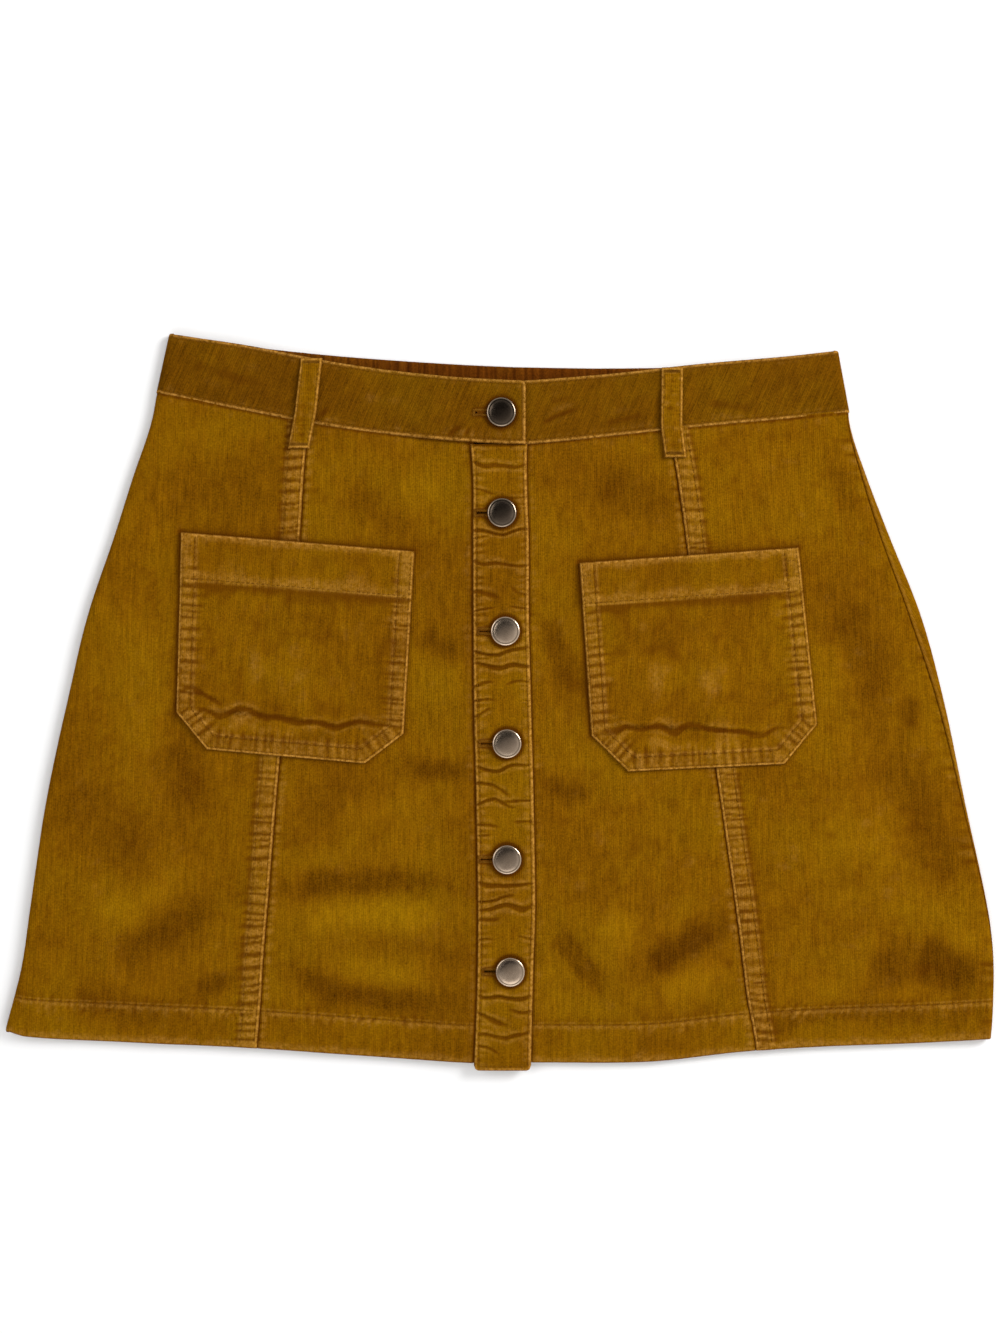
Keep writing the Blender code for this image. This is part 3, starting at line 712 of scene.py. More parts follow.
LAYOUT = Layout()


@dataclass
class Spread:
    """Where the lines of a grid are between two edges: fine near the edges and even between them.

    A line is at mix(first edge, second edge, share) + offset.
    """

    width: float
    fine_first: float
    fine_last: float
    fine_step: float
    step: float
    share: Array = field(init=False)
    offset: Array = field(init=False)

    def __post_init__(self) -> None:
        """Works out the lines."""
        first = np.arange(0.0, self.fine_first, self.fine_step)
        last = np.arange(0.0, self.fine_last, self.fine_step)
        middle_width = self.width - self.fine_first - self.fine_last
        count = max(2, int(round(middle_width / self.step)) + 1)
        t = np.linspace(0.0, 1.0, count)
        middle = self.fine_first * (1 - t) - self.fine_last * t
        self.share = np.concatenate([np.zeros(len(first)), t, np.ones(len(last))])
        self.offset = np.concatenate([first, middle, -last[::-1]])

    @property
    def shares(self) -> Array:
        """Each line's place as a share of the width."""
        return self.share + self.offset / self.width

    def across(self, first: Array, last: Array) -> Array:
        """Places of a grid's columns between two edges."""
        return mix(first, last, self.share[None, :]) + self.offset[None, :]

    def along(self, first: Array, last: Array) -> Array:
        """Places of a grid's rows between two edges."""
        return mix(first, last, self.share[:, None]) + self.offset[:, None]


def blur(grid: Array, reach: int) -> Array:
    """Mean of a grid's values over a square of cells, taken twice."""
    for _ in range(2):
        for axis in (0, 1):
            padding = [(reach + 1, reach) if k == axis else (0, 0) for k in (0, 1)]
            total = np.cumsum(np.pad(grid, padding, "edge"), axis=axis)
            size = 2 * reach + 1
            after = np.take(total, range(size, total.shape[axis]), axis=axis)
            before = np.take(total, range(0, total.shape[axis] - size), axis=axis)
            grid = (after - before) / size
    return grid


def stacked(*parts: Array) -> Array:
    """Grid points from their coordinates."""
    return np.stack(parts, axis=-1)


def read(source: bpy.types.bpy_prop_collection, name: str, width: int, kind: type = float) -> Array:
    """A property of every item in a mesh's list, as rows of a width."""
    values = np.empty(len(source) * width, kind)
    source.foreach_get(name, values)
    return values.reshape(-1, width)


def pick_faces(item: Item, chosen: Callable[[bpy.types.MeshPolygon], bool]) -> None:
    """Enters edit mode with only the faces selected that a test chooses."""
    bpy.ops.object.mode_set(mode="EDIT")
    bpy.ops.mesh.select_mode(type="FACE")
    bpy.ops.mesh.select_all(action="DESELECT")
    bpy.ops.object.mode_set(mode="OBJECT")
    for face in item.data.polygons:
        face.select = chosen(face)
    bpy.ops.object.mode_set(mode="EDIT")


@dataclass
class ClothGrid:
    """A cloth wall as grids of points: rows from foot to top, and columns from left to right."""

    name: str
    outer: Array
    inner: Array
    cut: Array
    wear: Array
    hollow: Array
    holes: Array | None = None
    folds: Array | None = None

    def build(self) -> Item:
        """Makes the mesh from a grid primitive, shapes it and gives it its wall.

        Returns:
            The cloth's object, with a map in metres of its cut, its marks of wear and its painted light and
            shade.
        """
        rows, columns = self.outer.shape[:2]
        bpy.ops.object.select_all(action="DESELECT")
        bpy.ops.mesh.primitive_grid_add(x_subdivisions=columns - 1, y_subdivisions=rows - 1, size=2.0)
        item = bpy.context.active_object
        item.name = item.data.name = self.name
        mesh = item.data
        places = (read(mesh.vertices, "co", 3) + 1) / 2
        column = np.rint(places[:, 0] * (columns - 1)).astype(int)
        row = np.rint(places[:, 1] * (rows - 1)).astype(int)
        mesh.vertices.foreach_set("co", (self.outer[row, column] * MM).ravel())
        folds = np.zeros(self.wear.shape) if self.folds is None else self.folds
        # Painted light on the ridges of the larger folds and painted shade in their troughs, kept as the tone
        # mark.
        tone = (folds - 0.85 * blur(folds, FOLD_SHADING_REACH)) / FOLD_SHADING_GAIN
        for name, values in (("wear", self.wear), ("hollow", self.hollow), ("tone", tone)):
            mark = mesh.attributes.new(name, "FLOAT", "POINT")
            mark.data.foreach_set("value", np.clip(values[row, column], -1.0, 1.0))
        inner = mesh.attributes.new("inner", "FLOAT_VECTOR", "POINT")
        inner.data.foreach_set("vector", (self.inner[row, column] * MM).ravel())
        corners = read(mesh.loops, "vertex_index", 1, int)[:, 0]
        layer = mesh.uv_layers.active or mesh.uv_layers.new(name="UVMap")
        layer.name = "cut"
        layer.data.foreach_set("uv", (self.cut[row, column] * MM)[corners].ravel())
        if self.holes is not None:
            inside = self.holes[row, column]
            pick_faces(item, lambda face: all(inside[k] for k in face.vertices))
            bpy.ops.mesh.delete(type="FACE")
            bpy.ops.object.mode_set(mode="OBJECT")
        self._add_wall(item)
        bpy.ops.object.shade_smooth_by_angle(angle=math.radians(60.0))
        return item

    def _add_wall(self, item: Item) -> None:
        """Gives the cloth its thickness, with the inner face where the grid says."""
        count = len(item.data.vertices)
        wall = item.modifiers.new("wall", "SOLIDIFY")
        wall.thickness = CLOTH * MM
        wall.offset = -1.0
        bpy.ops.object.modifier_apply(modifier="wall")
        mesh = item.data
        places = read(mesh.vertices, "co", 3)
        places[count:] = read(mesh.attributes["inner"].data, "vector", 3)[count:]
        mesh.vertices.foreach_set("co", places.ravel())
        mesh.attributes.remove(mesh.attributes["inner"])
        mesh.update()


def mark_relief(relief: Array, reach: int = 3, gain: float = 0.3) -> tuple[Array, Array]:
    """Marks of wear on a grid's small ridges and of painted shade in its small hollows.

    Args:
        relief: heights of the grid's points, in millimetres.
        reach: cells over which a ridge or a hollow is judged.
        gain: the height that gives a full mark.

    Returns:
        The wear and the painted shade marks, from 0 to 1.
    """
    relief = np.maximum(relief - np.median(relief), EDGE_SINK)
    detail = (relief - blur(relief, reach)) / gain
    return np.clip(0.45 * detail - 0.1, 0.0, 0.35), np.clip(-1.1 * detail - 0.12, 0.0, 0.8)


def settle(rows: Spread, across: ArrayMap, foot: ArrayMap, top: ArrayMap) -> tuple[Array, Array]:
    """Places of a panel's grid, whose rows follow its top and foot and whose columns follow its seams.

    Args:
        rows: the rows' spread from foot to top.
        across: gives each column's x at a grid of heights.
        foot: height of the foot at x.
        top: height of the top at x.

    Returns:
        The grid's x and y.
    """
    x = across(np.zeros((len(rows.share), 1)))
    y = np.zeros(x.shape)
    for _ in range(6):
        y = rows.along(foot(x), top(x))
        x = across(y)
    return x, y


def turned(edge: Array, side: int, radius: float, reach: Array, y: Array, depth: Array) -> Array:
    """Points of a wall where it turns round a side fold and goes on flat over the top.

    Args:
        edge: x of the fold's outermost line.
        side: -1 at the left, 1 at the right.
        radius: of the fold's outer face.
        reach: length along the cloth from the outermost line, above 0 over the top.
        y: places along.
        depth: how far inside the outer face the points are.

    Returns:
        The points.
    """
    quarter = radius * math.pi / 2
    turn = np.minimum(reach, quarter) / radius
    arm = radius - depth
    x = edge - side * (radius - arm * np.cos(turn)) - side * np.clip(reach - quarter, 0.0, None)
    return stacked(x, np.broadcast_to(y, x.shape), radius + arm * np.sin(turn))


class Tint(NamedTuple):
    """A cloth's tones in linear light: its own colours, and the painted shade colour of its hollows."""

    base: tuple[float, float, float]
    olive: tuple[float, float, float]
    russet: tuple[float, float, float]
    worn: tuple[float, float, float]
    shade: tuple[float, float, float]


# Olive and russet colour both the random mottling and the painted light and shade on the larger folds; shade
# is the painted shade colour.
MUSTARD = Tint(
    base=(0.168, 0.066, 0.0009),
    olive=(0.205, 0.102, 0.0011),
    russet=(0.106, 0.033, 0.0008),
    worn=(0.50, 0.24, 0.040),
    shade=(0.085, 0.022, 0.0006),
)
MUSTARD_BAND = Tint(
    base=(0.122, 0.046, 0.0010),
    olive=(0.150, 0.071, 0.0012),
    russet=(0.080, 0.024, 0.0009),
    worn=(0.46, 0.22, 0.040),
    shade=(0.070, 0.018, 0.0006),
)
INSIDE = Tint(
    base=(0.110, 0.030, 0.0022),
    olive=(0.150, 0.055, 0.0028),
    russet=(0.070, 0.014, 0.0014),
    worn=(0.17, 0.08, 0.020),
    shade=(0.030, 0.006, 0.0010),
)


class GroupBuilder:
    """Adds nodes to a node tree and links them in short lines."""

    def __init__(self, tree: bpy.types.NodeTree) -> None:
        """Keeps the tree."""
        self.tree = tree

    def node(self, kind: str, **settings: object) -> bpy.types.Node:
        """A new node with some of its properties set."""
        made = self.tree.nodes.new(kind)
        for name, value in settings.items():
            setattr(made, name, value)
        return made

    def feed(self, value: object, target: Socket) -> None:
        """Gives a socket a value, or links another socket to it."""
        if isinstance(value, Socket):
            self.tree.links.new(value, target)
        else:
            target.default_value = value

    def fill(self, inputs: bpy.types.NodeInputs, **values: object) -> None:
        """Feeds sockets whose names are given with an underscore for each space."""
        for name, value in values.items():
            self.feed(value, inputs[name.replace("_", " ")])

    def first(self, kind: str, given: tuple, **settings: object) -> Socket:
        """The first output of a new node whose sockets are fed in order."""
        made = self.node(kind, **settings)
        for value, target in zip(given, made.inputs):
            self.feed(value, target)
        return made.outputs[0]

    def math(self, operation: str, *values: object, clamp: bool = False) -> Socket:
        """The result of a Math node."""
        return self.first("ShaderNodeMath", values, operation=operation, use_clamp=clamp)

    def plus(self, *values: object) -> Socket:
        """A sum of two or more values."""
        total = values[0]
        for value in values[1:]:
            total = self.math("ADD", total, value)
        return total

    def times(self, a: object, b: object) -> Socket:
        """A product."""
        return self.math("MULTIPLY", a, b)

    def remap(self, value: object, low: float, high: float, to_low: float, to_high: float) -> Socket:
        """A value moved from one range to another, and held inside it."""
        return self.first("ShaderNodeMapRange", (value, low, high, to_low, to_high), clamp=True)

    def blend(self, share: object, first: object, second: object, kind: str = "MIX") -> Socket:
        """A colour between two others, or the first times the second."""
        made = self.node("ShaderNodeMix", data_type="RGBA", blend_type=kind)
        for name, value in ((0, share), (6, first), (7, second)):
            self.feed(value, made.inputs[name])
        return made.outputs[2]

    def lit(self, colour: object, light: object) -> Socket:
        """A colour times a number."""
        return self.blend(1.0, colour, self.first("ShaderNodeCombineColor", (light,) * 3), "MULTIPLY")

    def noise(self, vector: object, scale: float, detail: float, roughness: float = 0.5) -> Socket:
        """The value of a noise."""
        made = self.node("ShaderNodeTexNoise")
        self.fill(made.inputs, Vector=vector, Scale=scale, Detail=detail, Roughness=roughness)
        return made.outputs["Fac"]

    def vector(self, x: object, y: object) -> Socket:
        """A flat vector from two numbers."""
        return self.first("ShaderNodeCombineXYZ", (x, y, 0.0))

    def place(self) -> Socket:
        """The object's own coordinates."""
        return self.node("ShaderNodeTexCoord").outputs["Object"]


class CorduroyGroup:
    """Node group that gives corduroy its wales, mottling and worn ridges, with painted shade in hollows and
    painted light and shade on folds.
    """

    NAME = "Corduroy"
    COLOURS = ("Base", "Olive", "Russet", "Worn", "Shade")
    VALUES = ("Wear", "Hollow", "Tone", "Pitch", "Streak")

    @classmethod
    def tree(cls) -> bpy.types.NodeTree:
        """The group, built on first use."""
        return bpy.data.node_groups.get(cls.NAME) or cls._build()

    @classmethod
    def _build(cls) -> bpy.types.NodeTree:
        """Makes the group's sockets and nodes.

        Returns:
            The group's tree.
        """
        tree = bpy.data.node_groups.new(cls.NAME, "ShaderNodeTree")
        sockets = [("INPUT", "Vector", "Cut")]
        sockets += [("INPUT", "Color", name) for name in cls.COLOURS]
        sockets += [("INPUT", "Float", name) for name in cls.VALUES]
        sockets.append(("OUTPUT", "Color", "Color"))
        sockets += [("OUTPUT", "Float", name) for name in ("Height", "Roughness")]
        for way, kind, name in sockets:
            tree.interface.new_socket(name, in_out=way, socket_type=f"NodeSocket{kind}")
        build = GroupBuilder(tree)
        given = build.node("NodeGroupInput").outputs
        parts = build.node("ShaderNodeSeparateXYZ")
        build.feed(given["Cut"], parts.inputs[0])
        across, along = parts.outputs[0], parts.outputs[1]
        flat = build.vector(across, along)

        drift = build.remap(build.noise(flat, 60.0, 2.0), 0.3, 0.7, -0.35, 0.35)
        count = build.plus(build.math("DIVIDE", across, given["Pitch"]), drift)
        wale = build.math("MULTIPLY_ADD", build.math("COSINE", build.times(count, math.tau)), 0.5, 0.5)
        streak = build.noise(build.vector(across, build.times(along, 0.07)), 620.0, 2.0, 0.6)
        streak = build.remap(streak, 0.3, 0.7, -1.0, 1.0)
        fuzz = build.remap(build.noise(flat, 900.0, 2.0, 0.6), 0.25, 0.75, -1.0, 1.0)
        patch = build.noise(build.vector(across, build.times(along, 0.8)), 15.0, 6.0, 0.66)
        fleck = build.noise(build.vector(across, build.times(along, 0.55)), 190.0, 4.0, 0.7)
        hue = build.noise(build.vector(across, build.plus(along, 3.7)), 13.0, 4.0, 0.55)

        tone = build.times(build.plus(patch, -0.5), 0.38)
        tone = build.math("MULTIPLY_ADD", build.plus(fleck, -0.5), 0.85, tone)
        # The Tone input adds the painted light and shade of the larger folds.
        tone = build.plus(tone, build.times(given["Tone"], 0.38))
        # Olive and russet follow the random hue and the painted fold light and shade.
        olive = build.remap(build.plus(hue, build.times(tone, 0.55)), 0.46, 0.90, 0.0, 0.8)
        russet = build.remap(build.plus(hue, build.times(tone, 0.75)), 0.50, 0.06, 0.0, 0.8)
        colour = build.blend(olive, given["Base"], given["Olive"])
        colour = build.blend(russet, colour, given["Russet"])
        light = build.plus(
            build.math("MULTIPLY_ADD", tone, 0.55, 1.0),
            build.times(streak, build.times(given["Streak"], 0.17)),
            build.times(fuzz, 0.32),
            build.times(build.plus(wale, -0.5), 0.07),
        )
        break_up = build.remap(build.noise(flat, 420.0, 3.0, 0.7), 0.36, 0.64, 0.08, 1.0)
        worn = build.math("MULTIPLY", given["Wear"], break_up, clamp=True)
        colour = build.blend(worn, build.lit(colour, light), given["Worn"])
        # Painted shade in the hollows.
        shaded = build.math("MULTIPLY", given["Hollow"], 0.85, clamp=True)
        colour = build.blend(shaded, colour, given["Shade"])
        height = build.plus(build.times(wale, 0.5), build.times(fuzz, 0.3), build.times(streak, 0.12))
        rough = build.math("MULTIPLY_ADD", wale, -0.08, 0.96)
        build.fill(build.node("NodeGroupOutput").inputs, Color=colour, Height=height, Roughness=rough)
        return tree


@dataclass(frozen=True)
class Finish:
    """What every finish has: its name and the start of its material."""

    name: str

    def start(self) -> tuple[Material, GroupBuilder, bpy.types.NodeInputs]:
        """A new material, a builder of its nodes and its shader's sockets."""
        material = bpy.data.materials.new(self.name)
        material.use_nodes = True
        shader = material.node_tree.nodes["Principled BSDF"]
        return material, GroupBuilder(material.node_tree), shader.inputs


@dataclass(frozen=True)
class Corduroy(Finish):
    """Fine-wale corduroy with garment-washed wear."""

    tint: Tint
    turn: float = 0.0
    pitch: float = 1.2
    streak: float = 1.0
    offset: tuple[float, float] = (0.0, 0.0)

    def material(self) -> Material:
        """The finish as a material.

        Returns:
            A material that reads the cloth's own cut and its marks of wear.
        """
        material, build, shader = self.start()
        cut = build.node("ShaderNodeUVMap", uv_map="cut").outputs[0]
        turn = (0.0, 0.0, math.radians(self.turn))
        place = build.node("ShaderNodeMapping")
        build.fill(place.inputs, Vector=cut, Rotation=turn, Location=(*self.offset, 0.0))
        group = build.node("ShaderNodeGroup", node_tree=CorduroyGroup.tree())
        build.fill(group.inputs, Cut=place.outputs[0], Pitch=self.pitch * MM, Streak=self.streak)
        for name, colour in zip(CorduroyGroup.COLOURS, self.tint):
            group.inputs[name].default_value = (*colour, 1.0)
        # Wear, painted shade in hollows, and painted light and shade on the larger folds.
        for name in ("wear", "hollow", "tone"):
            mark = build.node("ShaderNodeAttribute", attribute_name=name)
            build.feed(mark.outputs["Fac"], group.inputs[name.capitalize()])
        grain = build.node("ShaderNodeBump")
        build.fill(grain.inputs, Strength=0.55, Distance=0.35 * MM, Height=group.outputs["Height"])
        build.fill(
            shader,
            Base_Color=group.outputs["Color"],
            Roughness=group.outputs["Roughness"],
            Normal=grain.outputs[0],
            Specular_IOR_Level=0.0,
            Sheen_Weight=0.05,
            Sheen_Roughness=0.4,
            Sheen_Tint=(1.0, 0.5, 0.03, 1.0),
        )
        return material


@dataclass(frozen=True)
class Thread(Finish):
    """Cotton thread of the stitching, with its twist."""

    name: str = "thread"
    colour: tuple[float, ...] = (0.21, 0.088, 0.006, 1.0)
    dark: tuple[float, ...] = (0.11, 0.038, 0.002, 1.0)

    def material(self) -> Material:
        """The finish as a material."""
        material, build, shader = self.start()
        tone = build.remap(build.noise(build.place(), 380.0, 3.0, 0.6), 0.3, 0.7, 0.0, 1.0)
        colour = build.blend(tone, self.dark, self.colour)
        build.fill(shader, Base_Color=colour, Roughness=0.75, Specular_IOR_Level=0.03)
        return material


@dataclass(frozen=True)
class AgedBrass(Finish):
    """Dark antique brass of a tack button: lacquered, scuffed, paler where it is rubbed, and darkened as a
    painted reflection.
    """

    dark: float
    bright: tuple[tuple, tuple] = ((0.59, 0.455, 0.335), (0.125, 0.093, 0.068))
    deep: tuple[tuple, tuple] = ((0.44, 0.33, 0.24), (0.070, 0.051, 0.036))
    bare: tuple[float, ...] = (0.55, 0.43, 0.31, 1.0)

    def material(self) -> Material:
        """The finish as a material, between its palest and its darkest brass by its painted reflection's
        darkness.
        """
        material, build, shader = self.start()
        place = build.place()
        cloud = build.remap(build.noise(place, 260.0, 4.0, 0.6), 0.2, 0.8, 0.0, 1.0)
        # Painted reflection: each cap's brass is mixed towards the darker colours by its dark value.
        bright, deep = (
            (*mix(np.array(palest), np.array(darkest), self.dark), 1.0)
            for palest, darkest in (self.bright, self.deep)
        )
        rubbed = build.node("ShaderNodeAttribute", attribute_name="wear").outputs["Fac"]
        tone = build.blend(build.times(rubbed, 0.4), build.blend(cloud, deep, bright), self.bare)
        scuff = build.remap(build.noise(place, 1800.0, 3.0, 0.7), 0.3, 0.7, 0.17, 0.27)
        build.fill(shader, Base_Color=tone, Roughness=scuff, Metallic=1.0)
        return material


@dataclass(frozen=True)
class Plain(Finish):
    """A plain matt finish with a faint grain, for the floor."""

    grey: float

    def material(self) -> Material:
        """The finish as a material."""
        material, build, shader = self.start()
        tones = [(*(min(1.0, self.grey * gain),) * 3, 1.0) for gain in (1.0, 1.01)]
        colour = build.blend(build.noise(build.place(), 3.0, 2.0), *tones)
        build.fill(shader, Base_Color=colour, Roughness=0.9, Specular_IOR_Level=0.1)
        return material


class ClothFinish(Enum):
    """The cloth finishes, one for each way that the corduroy is cut and has worn."""

    PANEL = Corduroy("corduroy_panel", MUSTARD)
    PANEL_LEFT = Corduroy("corduroy_side_left", MUSTARD, turn=2.0, offset=(0.31, 0.17))
    PANEL_RIGHT = Corduroy("corduroy_side_right", MUSTARD, turn=-2.0, offset=(0.53, 0.41))
    POCKET = Corduroy("corduroy_pocket", MUSTARD, turn=3.5, offset=(0.11, 0.73))
    PLACKET = Corduroy("corduroy_placket", MUSTARD, offset=(0.87, 0.29))
    BAND = Corduroy("corduroy_band", MUSTARD_BAND, turn=24.0, streak=1.3, offset=(0.23, 0.61))
    LOOP = Corduroy("corduroy_loop", MUSTARD, offset=(0.67, 0.93))
    BACK = Corduroy("corduroy_back", MUSTARD, offset=(0.41, 0.07))
    BACK_BAND = Corduroy("corduroy_inside", INSIDE, pitch=2.4, offset=(0.71, 0.53))


@cache
def finish_material(finish: Finish) -> Material:
    """The material of a finish, made on first use."""
    return finish.material()


@dataclass
class ClothPiece:
    """What every cloth piece has: its node, its finish and its cut."""

    node: str
    finish: ClothFinish
    flat: tuple[float, float]
    area: float | None = None
    rests_on: tuple[str, ...] = ()
    seed: int = 1

    def make(self, *grids: Array, holes: Array | None = None, folds: Array | None = None) -> Item:
        """Makes the cloth, gives it its material, parents it to the body and hides the imported part.

        Args:
            grids: its outer and inner points, its cut, its wear and the painted shade of its hollows.
            holes: where it is cut through.
            folds: height of its larger folds, which also sets their painted light and shade.

        Returns:
            Its object.
        """
        item = ClothGrid(self.node + "_cloth", *grids, holes, folds).build()
        item.data.materials.clear()
        item.data.materials.append(finish_material(self.finish.value))
        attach(item, BODY)
        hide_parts(self.node)
        list(self.rests_on)
        LOG.info("%s: %d faces", item.name, len(item.data.polygons))
        return item

    def uneven(self, x: Array, y: Array, size: float) -> Array:
        """Height of the cloth's own unevenness."""
        return Ripple(self.seed, size, 0.16).height(x, y) + Ripple(self.seed + 1, 8.0, 0.03).height(x, y)


def contact_shade(x: Array, y: Array, side: int) -> Array:
    """Shade on a panel along the outlines of the pocket and the belt loop that are sewn over it.

    Args:
        x: places across.
        y: places along.
        side: -1 for the left pocket and loop, 1 for the right.

    Returns:
        The shade from 0 to 1.
    """
    pocket, loop = POCKETS[(side + 1) // 2], BELT_LOOPS[(side + 1) // 2]
    by_loop = Line([(corner[0] - 6.6, corner[1]) for corner in (loop.end, loop.bend)])
    lines = (
        Line(pocket.corners),
        Line([pocket.top_left, pocket.top_right]),
        Line([pocket.low_left, pocket.top_left]),
        by_loop,
    )
    around, above, beside, by_loop = (line.near(x, y)[1] for line in lines)
    shade = 0.45 * bump(around, 1.3) + 0.7 * bump(above, 1.9) + 0.5 * bump(beside, 2.2)
    return shade + 0.22 * bump(np.minimum(np.abs(above), np.abs(beside)), 6.0) + 0.6 * bump(by_loop, 1.6)


def hem_relief(x: Array, y: Array) -> Array:
    """Height of the turned-up hem: its stitched line, its small gathers and its rolled edge."""
    above = y - LAYOUT.hem(x)
    relief = stitch_groove(x, above - HEM_LINE, 0.34)
    relief += HEM_GATHERS.height(x, above - HEM_LINE) * bump(above - HEM_LINE + 1.5, 5.5)
    return relief + 0.25 * ease((HEM_DEPTH - above) / 1.2) + round_edge(above, 1.2)


@dataclass
class FrontPanel(ClothPiece):
    """What the front panels share: how they lie, their small relief and their marks of wear."""

    side: int = -1
    rows: ClassVar[Spread]

    def settle(self, across: ArrayMap) -> tuple[Array, Array]:
        """The grid's x and y: its top is a little way under the waistband."""
        return settle(self.rows, across, LAYOUT.hem, lambda x: LAYOUT.waist(x) + PANEL_TUCK)

    def wall(self, x: Array, y: Array) -> Array:
        """Thickness of the cloth, which is doubled at the hem."""
        return np.where(y < LAYOUT.hem(x) + HEM_DEPTH, HEM_WALL, CLOTH)

    def faces(self, x: Array, y: Array, relief: Array) -> tuple[Array, Array]:
        """Outer and inner points of the panel as it lies flat."""
        base = LAYOUT.level(x, y)
        low = np.minimum(base - self.wall(x, y), base + relief - THIN_WALL)
        return stacked(x, y, base + relief), stacked(x, y, low)

    def small_relief(self, x: Array, y: Array) -> Array:
        """Height of the panel's unevenness, hem and gathers at the waist."""
        from_waist = LAYOUT.waist(x) - y
        relief = self.uneven(x, y, 40.0) - 0.2 * bump(from_waist, 1.2)
        relief += WAIST_GATHERS[self.side].height(x, 0.0) * 0.6 * bump(from_waist, 8.0)
        return relief + hem_relief(x, y)

    def marks(self, x: Array, y: Array, relief: Array, gain: float) -> tuple[Array, Array]:
        """Marks of wear and of painted shade that every front panel has."""
        wear, hollow = mark_relief(relief, 3, gain)
        above = y - LAYOUT.hem(x)
        wear += 0.35 * bump(above, 0.8) + 0.3 * bump(above - HEM_DEPTH + 3.3, 0.8)
        # Painted shade round the pocket and loop sewn on, and under the waistband's foot.
        hollow += contact_shade(x, y, self.side) + 0.4 * bump(LAYOUT.waist(x) - y, 1.0)
        return wear, hollow


@dataclass
class CentrePanel(FrontPanel):
    """A front panel between the placket and its seam."""

    rows: ClassVar[Spread] = Spread(355.0, 30.0, 12.0, 1.0, 1.45)
    columns: ClassVar[Spread] = Spread(112.0, 9.0, 9.0, 0.9, 1.7)

    def across(self, y: Array) -> Array:
        """Each column's x; both edges are tucked a little under the next piece."""
        if self.side < 0:
            return self.columns.across(LAYOUT.seam(-1, y) - PANEL_TUCK, LAYOUT.placket(-1, y) + PLACKET_TUCK)
        return self.columns.across(LAYOUT.placket(1, y) - PLACKET_COVER, LAYOUT.seam(1, y) + PANEL_TUCK)

    def build(self) -> Item:
        """Makes the panel.

        Returns:
            Its object.
        """
        x, y = self.settle(self.across)
        by_placket = np.abs(x - LAYOUT.placket(self.side, y))
        by_seam = np.abs(x - LAYOUT.seam(self.side, y))
        left = self.side < 0
        relief = self.small_relief(x, y)
        relief += SEAM_GATHERS[self.side].height(y, 0.0) * 0.7 * bump(by_seam, 4.5)
        relief += PLACKET_GATHERS.height(y, 0.0) * 0.5 * bump(by_placket, 6.0)
        relief -= 0.75 * bump(by_seam, 1.1) + (0.5 if left else 0.3) * bump(by_placket, 1.2)
        wear, hollow = self.marks(x, y, relief, 0.22)
        # Painted shade along the seam and beside the placket's edge.
        hollow += 0.6 * bump(by_seam, 0.9) + (0.85 if left else 0.6) * bump(by_placket, 1.0)
        hollow += (0.3 if left else 0.0) * bump(by_placket, 5.0)
        faces = self.faces(x, y, relief)
        return self.make(*faces, stacked(x, y), wear, hollow, folds=LAYOUT.folds(x, y))


